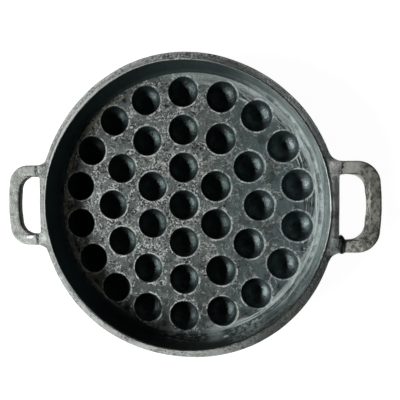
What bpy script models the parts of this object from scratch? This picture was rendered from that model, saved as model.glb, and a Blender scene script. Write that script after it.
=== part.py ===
"""Cast-iron paniyaram pan: a round pan with 37 hemispherical cups in its floor and two welded loop handles.

Metres, +Z up. The origin is where the pan's axis meets the surface that it stands on. +X runs through the
handles, and +Y points away from the cook, so the rear is at +Y and the front at -Y.

On the real pan the floor, cups, wall, rim and ears are one casting. Here the casting is split at hairline gaps into
the rim wall and one floor cell for each cup.
"""

import math

import bmesh
import bpy

# Cups
CUP_MOUTH_RADIUS = 0.020
CUP_LIP = 0.0008
CUP_DEPTH = 0.019
CUP_WALL = 0.0042
FOOT_CUT = 0.001
SPACE_BETWEEN_CUPS = 0.0014
RING_NAMES = ("inner", "middle", "outer")
CUPS_IN_RING = (6, 12, 18)

# Floor and wall
FLOOR_THICKNESS = 0.005
FLOOR_MARGIN = 0.0004
WALL_THICKNESS = 0.005
WALL_HEIGHT = 0.0325
WALL_FLARE = 0.008
ROOT_FILLET = 0.0045

# Rim
RIM_WIDTH = 0.0107
RIM_THICKNESS = 0.009
RIM_DROP = 0.0028
RIM_EDGE = 0.0011

# Ears
EAR_FLAT = 0.0015
EAR_STUB = 0.0028
EAR_FILLET = 0.018
EAR_BLEND = 0.0015

# Handles
HANDLE_WIDTH = 0.109
HANDLE_THICKNESS = 0.010
HANDLE_DROP = 0.0055
HANDLE_EDGE = 0.0028
ARM_WIDTH = 0.016
BAR_WIDTH = 0.017
BAR_BOW = 0.0015
FINGER_GAP = 0.030
OUTER_CORNER_RADIUS = 0.027
INNER_CORNER_RADIUS = 0.019

# Welds: how far each bead stands proud of the bar around it, or sinks below it
WELD_SEAM = 0.003
WELD_PROUD = {"left_rear": -0.001, "left_front": -0.0006, "right_rear": -0.0008, "right_front": 0.0015}

# Hairline gap between solids that touch
CLEARANCE = 0.0003

# Facets
CUP_SEGMENTS = 18
CUP_BANDS = 3
BOWL_BANDS = 2
FILLET_STEPS = 3
CORNER_STEPS = 6
ARC_STEPS = 5
RIM_STEPS = 14
EDGE_STEPS = 2

# Sides of the polygon around the middle cell, and around each ring of cells
CELL_BORDER_SIDES = (6, 24, 72, 72)

# Sizes that follow from the ones above
RING_PITCH = 2 * (CUP_MOUTH_RADIUS + CUP_WALL) + SPACE_BETWEEN_CUPS
FLOOR_TOP = CUP_DEPTH + CUP_WALL - FOOT_CUT
FLOOR_UNDERSIDE = FLOOR_TOP - FLOOR_THICKNESS
FLOOR_RADIUS = len(CUPS_IN_RING) * RING_PITCH + CUP_MOUTH_RADIUS + CUP_WALL + FLOOR_MARGIN
WALL_ROOT = FLOOR_RADIUS + CLEARANCE
RIM_TOP = FLOOR_TOP + WALL_HEIGHT
RIM_INNER_RADIUS = WALL_ROOT + WALL_FLARE
RIM_OUTER_RADIUS = RIM_INNER_RADIUS + RIM_WIDTH
EAR_X = RIM_OUTER_RADIUS + EAR_FLAT
STUB_X = EAR_X + EAR_STUB
LOOP_X = STUB_X + WELD_SEAM
ARM_OUTER_Y = HANDLE_WIDTH / 2
ARM_INNER_Y = ARM_OUTER_Y - ARM_WIDTH
HANDLE_TOP = RIM_TOP - HANDLE_DROP
BAR_INNER_X = EAR_X + FINGER_GAP
BAR_OUTER_X = BAR_INNER_X + BAR_WIDTH


def clear_scene():
    """Remove whatever the file opened with."""
    for obj in list(bpy.data.objects):
        bpy.data.objects.remove(obj)


def iron(name, colour, roughness, metallic):
    """A Principled material in a linear colour."""
    material = bpy.data.materials.new(name)
    material.use_nodes = True
    shader = material.node_tree.nodes["Principled BSDF"]
    shader.inputs["Base Color"].default_value = (*colour, 1.0)
    shader.inputs["Roughness"].default_value = roughness
    shader.inputs["Metallic"].default_value = metallic
    return material


def loft(name, rings, closed):
    """A mesh through rings of points. A closed loft joins its last ring to its first, and an open one is capped.

    A cap ring may be a single point, as at the bottom of a cup.
    """
    shape = bmesh.new()
    loops = [[shape.verts.new(point) for point in ring] for ring in rings]
    pairs = list(zip(loops, loops[1:]))
    if closed:
        pairs.append((loops[-1], loops[0]))
    for first, second in pairs:
        join_loops(shape, first, second)
    if not closed:
        for end in (loops[0], loops[-1]):
            if len(end) > 1:
                shape.faces.new(end)
    bmesh.ops.recalc_face_normals(shape, faces=shape.faces)
    mesh = bpy.data.meshes.new(name)
    shape.to_mesh(mesh)
    shape.free()
    mesh.shade_smooth()
    mesh.set_sharp_from_angle(angle=math.radians(35))
    return mesh


def join_loops(shape, first, second):
    """Faces between two rings of as many points, or between a ring and a single point."""
    count = max(len(first), len(second))
    for i in range(count):
        j = (i + 1) % count
        corners = [first[i % len(first)], first[j % len(first)], second[j % len(second)], second[i % len(second)]]
        shape.faces.new(dict.fromkeys(corners))


def add_object(name, mesh, material, turn=0.0):
    """A named object of this mesh, turned about the pan's axis."""
    obj = bpy.data.objects.new(name, mesh)
    obj.rotation_euler.z = turn
    if not mesh.materials:
        mesh.materials.append(material)
    bpy.context.scene.collection.objects.link(obj)


def crossing(first, second):
    """The point where two lines meet. A line is (direction of its normal in radians, distance from the axis)."""
    (a, d), (b, e) = first, second
    turn = math.sin(b - a)
    return ((d * math.sin(b) - e * math.sin(a)) / turn, (e * math.cos(a) - d * math.cos(b)) / turn)


def border_lines(sides, distance, half_angle):
    """The lines of a regular polygon's edges that fall within half_angle of +X, at this distance from the axis."""
    step = math.tau / sides
    count = round(2 * half_angle / step)
    return [(step * (i + 0.5) - half_angle, distance) for i in range(count)]


def cell_corners(ring):
    """Corners of the floor cell of a cup on ring 0, 1, 2 or 3, with the cup on +X, half a hairline inside its borders."""
    gap = CLEARANCE / 2
    reach = (ring + 0.5) * RING_PITCH - gap
    if ring == len(CUPS_IN_RING):
        reach = FLOOR_RADIUS * math.cos(math.pi / CELL_BORDER_SIDES[ring])
    if ring == 0:
        lines = border_lines(CELL_BORDER_SIDES[0], reach, math.pi)
    else:
        half = math.pi / CUPS_IN_RING[ring - 1]
        inner = border_lines(CELL_BORDER_SIDES[ring - 1], (ring - 0.5) * RING_PITCH + gap, half)
        outer = border_lines(CELL_BORDER_SIDES[ring], reach, half)
        sides = [(-half - math.pi / 2, -gap), (half + math.pi / 2, -gap)]
        lines = [sides[0], *outer, sides[1], *reversed(inner)]
    return [crossing(line, lines[(i + 1) % len(lines)]) for i, line in enumerate(lines)]


def edge_distance(corners, centre_x, angle):
    """How far the polygon's edge is from a point on the X axis, in this direction."""
    ray_x, ray_y = math.cos(angle), math.sin(angle)
    found = []
    for i, (ax, ay) in enumerate(corners):
        bx, by = corners[(i + 1) % len(corners)]
        edge_x, edge_y = bx - ax, by - ay
        slant = ray_x * edge_y - ray_y * edge_x
        if abs(slant) < 1e-12:
            continue
        along = ((ax - centre_x) * edge_y - ay * edge_x) / slant
        share = ((ax - centre_x) * ray_y - ay * ray_x) / slant
        if along > 0 and -1e-9 <= share <= 1 + 1e-9:
            found.append(along)
    return min(found)


def sample_angles(corners, centre_x):
    """Directions around a cup: one to each corner of its cell, and even ones between them."""
    exact = [math.atan2(y, x - centre_x) % math.tau for x, y in corners]
    step = math.tau / CUP_SEGMENTS
    even = [i * step for i in range(CUP_SEGMENTS)]
    spare = [a for a in even if min(abs(math.remainder(a - b, math.tau)) for b in exact) > step / 2]
    return sorted(exact + spare)


def cup_cell_mesh(ring):
    """A floor cell with its cup: the bowl inside, the floor around it, and the rounded cup with its foot below."""
    centre_x = ring * RING_PITCH
    corners = cell_corners(ring)
    angles = sample_angles(corners, centre_x)

    throat = CUP_MOUTH_RADIUS - CUP_LIP
    throat_depth = CUP_DEPTH - CUP_LIP
    bowl = (throat**2 + throat_depth**2) / (2 * throat_depth)
    centre_z = FLOOR_TOP - CUP_DEPTH + bowl
    outside = bowl + CUP_WALL
    throat_angle = math.acos((centre_z - FLOOR_TOP + CUP_LIP) / bowl)
    floor_angle = math.acos((centre_z - FLOOR_UNDERSIDE) / outside)
    foot_angle = math.acos(centre_z / outside)

    def circle(radius, z):
        return [(centre_x + radius * math.cos(a), radius * math.sin(a), z) for a in angles]

    def border(z):
        reach = [edge_distance(corners, centre_x, a) for a in angles]
        return [(centre_x + r * math.cos(a), r * math.sin(a), z) for r, a in zip(reach, angles)]

    rings = [[(centre_x, 0, FLOOR_TOP - CUP_DEPTH)]]
    for i in range(1, CUP_BANDS + 1):
        tilt = throat_angle * i / CUP_BANDS
        rings.append(circle(bowl * math.sin(tilt), centre_z - bowl * math.cos(tilt)))
    rings += [circle(CUP_MOUTH_RADIUS, FLOOR_TOP), border(FLOOR_TOP), border(FLOOR_UNDERSIDE)]
    for i in range(BOWL_BANDS + 1):
        tilt = floor_angle + (foot_angle - floor_angle) * i / BOWL_BANDS
        rings.append(circle(outside * math.sin(tilt), centre_z - outside * math.cos(tilt)))
    return loft(f"cup_cell_{ring}", rings, closed=False)


def mirrored_loop(quarter):
    """Four quarters of an outline from its first one, which runs from the X axis to the Y axis."""
    half = quarter + [(-x, y) for x, y in reversed(quarter[:-1])]
    return half + [(x, -y) for x, y in reversed(half[1:-1])]


def ear_and_rim_quarter():
    """The rim's outer edge from the middle of the right ears to the rear: flat, stub, fillet, then the round rim."""
    centre_y = ARM_OUTER_Y + EAR_FILLET
    centre_x = math.sqrt((RIM_OUTER_RADIUS + EAR_FILLET) ** 2 - centre_y**2)
    root = ARM_INNER_Y - EAR_STUB
    points = [(EAR_X, 0), (EAR_X, root / 2), (EAR_X, root), (STUB_X, ARM_INNER_Y)]

    sink = min(1.0, max(0.0, (centre_x - STUB_X) / EAR_FILLET))
    start = -math.pi / 2 - math.asin(sink)
    end = math.atan2(centre_y, centre_x) - math.pi
    for i in range(ARC_STEPS + 1):
        angle = start + (end - start) * i / ARC_STEPS
        x = centre_x + EAR_FILLET * math.cos(angle)
        points.append((min(x, STUB_X), centre_y + EAR_FILLET * math.sin(angle)))

    start = math.atan2(centre_y, centre_x)
    for i in range(1, RIM_STEPS + 1):
        angle = start + (math.pi / 2 - start) * i / RIM_STEPS
        points.append((RIM_OUTER_RADIUS * math.cos(angle), RIM_OUTER_RADIUS * math.sin(angle)))
    return points


def wall_section(reach):
    """The wall's closed section as (radius, height), where the rim's outer edge is at this radius.

    It runs from the floor's edge up the inside, over the crowned rim, and down the outside. Where the rim reaches
    out into an ear it drops to the handle's level.
    """
    ear = min(1.0, (reach - RIM_OUTER_RADIUS) / EAR_BLEND)
    top = RIM_TOP - RIM_DROP + (RIM_DROP - HANDLE_DROP) * ear
    bottom = top - RIM_THICKNESS + (RIM_THICKNESS - HANDLE_THICKNESS) * ear
    lean = math.radians(12)
    centre_z = FLOOR_TOP + ROOT_FILLET

    def root_arc(width, height):
        tilts = [(math.pi / 2 - lean) * i / FILLET_STEPS for i in range(FILLET_STEPS + 1)]
        return [(WALL_ROOT + width * math.sin(t), centre_z - height * math.cos(t)) for t in tilts]

    inside = root_arc(ROOT_FILLET, ROOT_FILLET)
    outside = root_arc(ROOT_FILLET + WALL_THICKNESS, ROOT_FILLET + FLOOR_THICKNESS)
    crest = [
        (RIM_INNER_RADIUS, RIM_TOP - RIM_EDGE),
        (RIM_INNER_RADIUS + RIM_EDGE, RIM_TOP),
        (reach - 2 * RIM_EDGE, top),
        (reach, top - 2 * RIM_EDGE),
        (reach, bottom + RIM_EDGE),
        (reach - RIM_EDGE, bottom),
        (RIM_INNER_RADIUS + WALL_THICKNESS - RIM_EDGE, bottom - RIM_EDGE),
    ]
    return inside + crest + list(reversed(outside))


def rim_wall_mesh():
    """The wall, rim and ears: the wall's section at each point around the rim's outer edge."""
    outline = mirrored_loop(ear_and_rim_quarter())
    rings = []
    for x, y in outline:
        reach = math.hypot(x, y)
        rings.append([(radius * x / reach, radius * y / reach, z) for radius, z in wall_section(reach)])
    return loft("rim_wall", rings, closed=True)


def bar_section(low, high, top, bottom, grow=0.0):
    """A rounded rectangle between two points of the plan, grown by this much all round."""
    edge = HANDLE_EDGE
    width = math.dist(low, high)
    along = ((high[0] - low[0]) / width, (high[1] - low[1]) / width)
    middle = ((low[0] + high[0]) / 2, (low[1] + high[1]) / 2)
    half_width = width / 2 + grow
    half_height = (top - bottom) / 2 + grow
    centre_z = (top + bottom) / 2
    points = []
    for side, level, start in ((1, 1, 0.0), (-1, 1, 0.5), (-1, -1, 1.0), (1, -1, 1.5)):
        for i in range(EDGE_STEPS + 1):
            angle = math.pi * (start + 0.5 * i / EDGE_STEPS)
            across = side * (half_width - edge) + edge * math.cos(angle)
            up = level * (half_height - edge) + edge * math.sin(angle)
            points.append((middle[0] + across * along[0], middle[1] + across * along[1], centre_z + up))
    return points


def loop_edge(corner_y, bar_x, corner_radius):
    """One edge of the right loop in plan, from its rear end to the bar's middle: arm, corner, then the bowed bar."""
    side_x = bar_x - BAR_BOW
    radius = min(corner_radius, corner_y, side_x - LOOP_X)
    centre = (side_x - radius, corner_y - radius)
    points = [(LOOP_X, corner_y)]
    for i in range(CORNER_STEPS + 1):
        angle = math.pi / 2 * (1 - i / CORNER_STEPS)
        points.append((centre[0] + radius * math.cos(angle), centre[1] + radius * math.sin(angle)))
    for i in range(1, ARC_STEPS + 1):
        share = 1 - i / ARC_STEPS
        points.append((bar_x - BAR_BOW * share**2, centre[1] * share))
    return points


def handle_mesh(side):
    """A loop handle, from its rear end round to its front end, on side +1 (right) or -1 (left)."""
    outer = loop_edge(ARM_OUTER_Y, BAR_OUTER_X, OUTER_CORNER_RADIUS)
    inner = loop_edge(ARM_INNER_Y, BAR_INNER_X, INNER_CORNER_RADIUS)
    pairs = list(zip(inner, outer))
    pairs += [((a[0], -a[1]), (b[0], -b[1])) for a, b in reversed(pairs[:-1])]
    rings = []
    for low, high in pairs:
        low, high = (side * low[0], low[1]), (side * high[0], high[1])
        rings.append(bar_section(low, high, HANDLE_TOP, HANDLE_TOP - HANDLE_THICKNESS))
    return loft(f"handle_{side}", rings, closed=False)


def weld_mesh(side, end, proud):
    """The bead between an ear's stub and the end of a loop, on side +1 or -1, at the rear (+1) or the front (-1)."""
    first, last = STUB_X + CLEARANCE, LOOP_X - CLEARANCE
    rings = []
    for x, grow in ((first, 0.0), ((first + last) / 2, proud), (last, 0.0)):
        low, high = (side * x, end * ARM_INNER_Y), (side * x, end * ARM_OUTER_Y)
        rings.append(bar_section(low, high, HANDLE_TOP, HANDLE_TOP - HANDLE_THICKNESS, grow))
    return loft(f"weld_{side}_{end}", rings, closed=False)


def build_pan():
    """All the pan's pieces, each as its own object."""
    floor_iron = iron("seasoned_floor_iron", (0.060, 0.068, 0.064), 0.55, 0.6)
    wall_iron = iron("ground_rim_iron", (0.16, 0.17, 0.16), 0.5, 0.6)
    handle_iron = iron("handle_iron", (0.20, 0.21, 0.20), 0.55, 0.6)
    weld_iron = iron("weld_iron", (0.02, 0.02, 0.02), 0.6, 0.5)

    add_object("centre_cup", cup_cell_mesh(0), floor_iron)
    for ring, (name, count) in enumerate(zip(RING_NAMES, CUPS_IN_RING), start=1):
        mesh = cup_cell_mesh(ring)
        for i in range(count):
            turn = math.pi / 2 - math.tau * i / count
            add_object(f"{name}_cup_{i + 1:02d}", mesh, floor_iron, turn)

    add_object("rim_wall", rim_wall_mesh(), wall_iron)
    for side_name, side in (("left", -1), ("right", 1)):
        add_object(f"{side_name}_handle", handle_mesh(side), handle_iron)
        for end_name, end in (("rear", 1), ("front", -1)):
            place = f"{side_name}_{end_name}"
            add_object(f"{place}_weld", weld_mesh(side, end, WELD_PROUD[place]), weld_iron)


clear_scene()
build_pan()
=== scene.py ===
"""Looks of a cast-iron paniyaram pan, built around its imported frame.

The pan is one casting (a floor with 37 hemispherical cups, a dished wall, a thick rim and four ears) with two
loop handles welded to it. Each of them is modelled here more finely than in the frame, finished, lit and seen
from above. Metres, +Z up, with the pan's axis on Z and its handles along X.
"""

from __future__ import annotations

import logging
import math
from dataclasses import dataclass, field
from enum import Enum
from functools import partial
from typing import ClassVar

import bmesh
import bpy
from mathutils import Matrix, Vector, noise

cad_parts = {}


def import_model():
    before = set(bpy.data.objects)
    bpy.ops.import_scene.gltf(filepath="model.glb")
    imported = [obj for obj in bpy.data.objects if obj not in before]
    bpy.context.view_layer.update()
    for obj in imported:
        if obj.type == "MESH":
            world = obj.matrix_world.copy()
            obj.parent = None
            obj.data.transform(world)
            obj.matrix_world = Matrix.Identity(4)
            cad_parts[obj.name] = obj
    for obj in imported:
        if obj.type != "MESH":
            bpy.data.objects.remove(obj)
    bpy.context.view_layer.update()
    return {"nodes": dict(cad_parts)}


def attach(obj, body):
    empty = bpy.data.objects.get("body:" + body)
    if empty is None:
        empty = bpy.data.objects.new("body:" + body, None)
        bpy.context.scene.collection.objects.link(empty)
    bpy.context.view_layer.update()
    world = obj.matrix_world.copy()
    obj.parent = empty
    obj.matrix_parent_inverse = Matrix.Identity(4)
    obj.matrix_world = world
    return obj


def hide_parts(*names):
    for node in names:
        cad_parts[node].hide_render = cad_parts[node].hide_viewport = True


LOG = logging.getLogger("pan")
MM = 0.001
# Nearer than this, two points of a mesh are one.
DOUBLES_REACH = 0.00002
# A fold between two faces that is steeper than this is shaded sharp.
SHARP_FOLD = math.radians(50)
# The slight unevenness of the meshes is the same in every run.
UNEVENNESS_SEED = 5

Point = tuple[float, float, float]
Profile = list[tuple[float, float]]


def linear(colour: str) -> tuple[float, float, float, float]:
    """Turn an sRGB hex colour into linear RGBA.

    Args:
        colour: Six hex digits after a #.

    Returns:
        Red, green, blue and alpha, each from 0 to 1.
    """
    levels = [int(colour[i : i + 2], 16) / 255 for i in (1, 3, 5)]
    red, green, blue = (v / 12.92 if v <= 0.04045 else ((v + 0.055) / 1.055) ** 2.4 for v in levels)
    return red, green, blue, 1.0


def add_node(tree: bpy.types.NodeTree, kind: str, inputs: dict | None = None, **settings) -> bpy.types.Node:
    """Add a node with its settings, values and links.

    Args:
        tree: The tree that the node goes into.
        kind: The node's type.
        inputs: Values, or sockets to link from, by input name or index.
        **settings: The node's own properties.

    Returns:
        The new node.
    """
    node = tree.nodes.new(kind)
    for name, value in settings.items():
        setattr(node, name, value)
    for key, value in (inputs or {}).items():
        if isinstance(value, bpy.types.NodeSocket):
            tree.links.new(value, node.inputs[key])
        else:
            node.inputs[key].default_value = value
    return node


def arc(centre: tuple[float, float], radius: float, start: float, end: float, steps: int) -> Profile:
    """Points along an arc.

    Args:
        centre: The arc's centre.
        radius: Its radius.
        start: Angle of the first point, in radians.
        end: Angle of the last point.
        steps: How many chords the arc has.

    Returns:
        The steps + 1 points.
    """
    angles = [start + (end - start) * i / steps for i in range(steps + 1)]
    return [(centre[0] + radius * math.cos(a), centre[1] + radius * math.sin(a)) for a in angles]


def smooth_step(value: float) -> float:
    """Ease a share from 0 to 1, held at its ends."""
    share = min(1.0, max(0.0, value))
    return share * share * (3 - 2 * share)


@dataclass(frozen=True)
class PanSizes:
    """The frame's driving sizes in metres, and the places that follow from them."""

    mouth_radius: float = 0.020
    throat_inset: float = 0.0008
    cup_depth: float = 0.019
    cup_wall: float = 0.0042
    foot_cut: float = 0.001
    cup_space: float = 0.0014
    cups_in_ring: tuple[int, ...] = (6, 12, 18)
    floor_thickness: float = 0.005
    floor_margin: float = 0.0004
    wall_thickness: float = 0.005
    wall_height: float = 0.0325
    wall_flare: float = 0.008
    root_gap: float = 0.0003
    root_fillet: float = 0.0045
    rim_width: float = 0.0107
    rim_thickness: float = 0.009
    rim_drop: float = 0.0028
    ear_flat: float = 0.0015
    ear_stub: float = 0.0028
    ear_fillet: float = 0.018
    handle_width: float = 0.109
    handle_thickness: float = 0.010
    handle_drop: float = 0.0055
    arm_width: float = 0.016
    bar_width: float = 0.017
    bar_bow: float = 0.0015
    finger_gap: float = 0.030
    outer_corner: float = 0.027
    inner_corner: float = 0.019
    weld_seam: float = 0.003

    @property
    def pitch(self) -> float:
        """Distance between rings of cups."""
        return 2 * (self.mouth_radius + self.cup_wall) + self.cup_space

    @property
    def floor_top(self) -> float:
        """Height of the floor's upper face."""
        return self.cup_depth + self.cup_wall - self.foot_cut

    @property
    def floor_radius(self) -> float:
        """Radius at which the floor meets the wall."""
        return len(self.cups_in_ring) * self.pitch + self.mouth_radius + self.cup_wall + self.floor_margin

    @property
    def wall_root(self) -> float:
        """Radius at which the wall starts to rise."""
        return self.floor_radius + self.root_gap

    @property
    def rim_top(self) -> float:
        """Height of the rim's inner edge, the highest place on the pan."""
        return self.floor_top + self.wall_height

    @property
    def rim_inner(self) -> float:
        """Radius of the rim's inner edge."""
        return self.wall_root + self.wall_flare

    @property
    def rim_outer(self) -> float:
        """Radius of the rim's outer edge."""
        return self.rim_inner + self.rim_width

    @property
    def ear_x(self) -> float:
        """Where the flat between two ears lies."""
        return self.rim_outer + self.ear_flat

    @property
    def stub_x(self) -> float:
        """Where an ear ends."""
        return self.ear_x + self.ear_stub

    @property
    def loop_x(self) -> float:
        """Where a loop handle starts."""
        return self.stub_x + self.weld_seam

    @property
    def arm_outer_y(self) -> float:
        """Outer edge of a handle's arms."""
        return self.handle_width / 2

    @property
    def arm_inner_y(self) -> float:
        """Inner edge of a handle's arms."""
        return self.arm_outer_y - self.arm_width

    @property
    def handle_top(self) -> float:
        """Height of a handle's upper face."""
        return self.rim_top - self.handle_drop

    @property
    def bar_inner_x(self) -> float:
        """Inner edge of a handle's bar, at its middle."""
        return self.ear_x + self.finger_gap

    @property
    def bar_outer_x(self) -> float:
        """Outer edge of a handle's bar, at its middle."""
        return self.bar_inner_x + self.bar_width


@dataclass
class Draft:
    """Points and faces of a mesh that is being drawn, with a zone for each face and marks on the points."""

    points: list[Point] = field(default_factory=list)
    faces: list[tuple[int, ...]] = field(default_factory=list)
    zones: list[int] = field(default_factory=list)
    marks: dict[str, dict[int, float]] = field(default_factory=dict)

    def ring(self, points: list[Point], **marks: float) -> list[int]:
        """Add a row of points.

        Args:
            points: Their places.
            **marks: Named values that each of them carries, 0 where none is given.

        Returns:
            The points' numbers.
        """
        first = len(self.points)
        self.points += points
        numbers = list(range(first, len(self.points)))
        for name, value in marks.items():
            self.marks.setdefault(name, {}).update(dict.fromkeys(numbers, value))
        return numbers

    def face(self, corners: tuple[int, ...], zone: int) -> None:
        """Add a face, leaving out a corner that comes twice."""
        self.faces.append(tuple(dict.fromkeys(corners)))
        self.zones.append(zone)

    def band(self, first: list[int], second: list[int], zone: int = 0) -> None:
        """Join two closed rows of as many points, or a row and a single point."""
        count = max(len(first), len(second))
        for i in range(count):
            j = (i + 1) % count
            low, high = first[i % len(first)], first[j % len(first)]
            self.face((low, high, second[j % len(second)], second[i % len(second)]), zone)

    def web(self, circle: list[int], border: list[int], centre: tuple[float, float], zone: int = 0) -> None:
        """Join a circle to the polygon around it with triangles.

        Args:
            circle: The circle's points, in turn.
            border: The polygon's points, turning the same way.
            centre: The circle's centre.
            zone: The faces' zone.
        """

        def bearing(number: int) -> float:
            return math.atan2(self.points[number][1] - centre[1], self.points[number][0] - centre[0])

        start = bearing(circle[0])
        ahead = [(bearing(n) - start) % math.tau for n in border]
        shift = ahead.index(min(ahead))
        border = border[shift:] + border[:shift]
        inner = [*(math.remainder(bearing(n) - start, math.tau) % math.tau for n in circle), math.tau]
        outer = [*sorted(ahead), math.tau + min(ahead)]
        i = j = 0
        while i < len(circle) or j < len(border):
            on_circle, on_border = circle[i % len(circle)], border[j % len(border)]
            if j == len(border) or (i < len(circle) and inner[i + 1] <= outer[j + 1]):
                self.face((on_circle, circle[(i + 1) % len(circle)], on_border), zone)
                i += 1
            else:
                self.face((on_circle, border[(j + 1) % len(border)], on_border), zone)
                j += 1

    def tube(self, rows: list[list[int]]) -> None:
        """Join closed rows of points one after the other, and close both ends."""
        for first, second in zip(rows, rows[1:]):
            self.band(first, second)
        self.face(tuple(rows[0]), 0)
        self.face(tuple(rows[-1]), 0)

    def mesh(self, name: str) -> bpy.types.Mesh:
        """Make the mesh.

        Args:
            name: The mesh's name.

        Returns:
            A mesh with each face's zone in its face attribute "zone" and as its material's number.
        """
        mesh = bpy.data.meshes.new(name)
        mesh.from_pydata(self.points, [], self.faces)
        mesh.polygons.foreach_set("material_index", self.zones)
        mesh.attributes.new("zone", "INT", "FACE").data.foreach_set("value", self.zones)
        for mark, values in self.marks.items():
            spread = [values.get(i, 0.0) for i in range(len(self.points))]
            mesh.attributes.new(mark, "FLOAT", "POINT").data.foreach_set("value", spread)
        mesh.update()
        return mesh


def close_up(mesh: bpy.types.Mesh) -> None:
    """Weld a mesh's doubles, turn its faces outwards and shade it smooth."""
    shape = bmesh.new()
    shape.from_mesh(mesh)
    bmesh.ops.remove_doubles(shape, verts=shape.verts, dist=DOUBLES_REACH)
    bmesh.ops.recalc_face_normals(shape, faces=shape.faces)
    open_edges = sum(1 for edge in shape.edges if len(edge.link_faces) != 2)
    if open_edges:
        LOG.warning("%s has %d edges that don't join two faces", mesh.name, open_edges)
    shape.to_mesh(mesh)
    shape.free()
    mesh.shade_smooth()
    mesh.set_sharp_from_angle(angle=SHARP_FOLD)


def place_piece(name: str, mesh: bpy.types.Mesh, materials: list[bpy.types.Material]) -> bpy.types.Object:
    """Make a mesh an object of the scene.

    Args:
        name: The piece's name.
        mesh: Its mesh, in the pan's own coordinates.
        materials: Its materials, in the order of the zones.

    Returns:
        The object, at the origin.
    """
    for material in materials:
        mesh.materials.append(material)
    piece = bpy.data.objects.new(name, mesh)
    bpy.context.scene.collection.objects.link(piece)
    return piece


class Way(Enum):
    """What a ramp follows."""

    ACROSS = 0
    AWAY = 1
    UP = 2
    OUTWARD = 3


@dataclass(frozen=True)
class Swatch:
    """A material's node tree with the piece's coordinates, straight and wrapped round the pan's axis."""

    tree: bpy.types.NodeTree
    straight: bpy.types.NodeSocket
    flat: bpy.types.NodeSocket
    wrapped: bpy.types.NodeSocket
    outward: bpy.types.NodeSocket


class Pattern:
    """Something that covers part of a surface.

    One pattern & another shows only where both do, and one | another shows where either does.
    """

    def __and__(self, other: Pattern) -> Pattern:
        """Both patterns at once."""
        return Joined((self, other), "MULTIPLY")

    def __or__(self, other: Pattern) -> Pattern:
        """The stronger of two patterns."""
        return Joined((self, other), "MAXIMUM")

    def mask(self, swatch: Swatch) -> bpy.types.NodeSocket:
        """Make the nodes of the pattern.

        Args:
            swatch: The tree that they go into.

        Returns:
            A socket that is 0 where the pattern is absent and 1 where it is full.
        """
        raise NotImplementedError


@dataclass(frozen=True)
class Clouds(Pattern):
    """Soft patches of noise. Their size is in millimetres, one for all three axes or one for each."""

    size: float | Point
    low: float
    high: float
    seed: float
    detail: float = 3.0
    turn: float = 0.0
    wrapped: bool = False
    seed_shift: ClassVar[Point] = (37, 23, 11)

    def mask(self, swatch: Swatch) -> bpy.types.NodeSocket:
        """Make the nodes of the pattern, as Pattern.mask says."""
        sizes = self.size if isinstance(self.size, tuple) else (self.size,) * 3
        inputs = {
            "Vector": swatch.wrapped if self.wrapped else swatch.straight,
            "Location": tuple(self.seed * MM * shift for shift in self.seed_shift),
            "Rotation": (0, 0, math.radians(self.turn)),
            "Scale": tuple(size * MM for size in sizes),
        }
        spread = add_node(swatch.tree, "ShaderNodeMapping", inputs, vector_type="TEXTURE")
        inputs = {"Vector": spread.outputs[0], "Scale": 1.0, "Detail": self.detail, "Roughness": 0.55}
        cloud = add_node(swatch.tree, "ShaderNodeTexNoise", inputs)
        inputs = {"Value": cloud.outputs[0], "From Min": self.low, "From Max": self.high}
        edge = add_node(swatch.tree, "ShaderNodeMapRange", inputs, interpolation_type="SMOOTHSTEP")
        return edge.outputs[0]


@dataclass(frozen=True)
class Threads(Pattern):
    """Thin winding lines, like scratches left by scouring. The size of their loops is in millimetres."""

    size: float
    width: float
    seed: float
    detail: float = 3.0
    core: ClassVar[float] = 0.3
    seed_shift: ClassVar[Point] = (31, 17, 13)

    def mask(self, swatch: Swatch) -> bpy.types.NodeSocket:
        """Make the nodes of the pattern, as Pattern.mask says."""
        tree = swatch.tree
        inputs = {
            "Vector": swatch.straight,
            "Location": tuple(self.seed * MM * shift for shift in self.seed_shift),
            "Scale": (self.size * MM,) * 3,
        }
        spread = add_node(tree, "ShaderNodeMapping", inputs, vector_type="TEXTURE")
        inputs = {"Vector": spread.outputs[0], "Scale": 1.0, "Detail": self.detail, "Roughness": 0.5}
        cloud = add_node(tree, "ShaderNodeTexNoise", inputs)
        level = add_node(tree, "ShaderNodeMath", {0: cloud.outputs[0], 1: 0.5}, operation="SUBTRACT")
        distance = add_node(tree, "ShaderNodeMath", {0: level.outputs[0]}, operation="ABSOLUTE")
        inputs = {"Value": distance.outputs[0], "From Min": self.width, "From Max": self.width * self.core}
        return add_node(tree, "ShaderNodeMapRange", inputs).outputs[0]


@dataclass(frozen=True)
class Spot(Pattern):
    """One oval place as seen from above, soft at its edge. Its centre and half axes are in millimetres."""

    place: tuple[float, float]
    reach: tuple[float, float]
    turn: float = 0.0
    fade: float = 0.5

    def mask(self, swatch: Swatch) -> bpy.types.NodeSocket:
        """Make the nodes of the pattern, as Pattern.mask says."""
        inputs = {
            "Vector": swatch.flat,
            "Location": (self.place[0] * MM, self.place[1] * MM, 0.0),
            "Rotation": (0.0, 0.0, math.radians(self.turn)),
            "Scale": (self.reach[0] * MM, self.reach[1] * MM, 1.0),
        }
        own = add_node(swatch.tree, "ShaderNodeMapping", inputs, vector_type="TEXTURE")
        distance = add_node(swatch.tree, "ShaderNodeVectorMath", {0: own.outputs[0]}, operation="LENGTH")
        inputs = {"Value": distance.outputs["Value"], "From Min": 1 + self.fade, "From Max": 1 - self.fade}
        oval = add_node(swatch.tree, "ShaderNodeMapRange", inputs, interpolation_type="SMOOTHSTEP")
        return oval.outputs[0]


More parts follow.
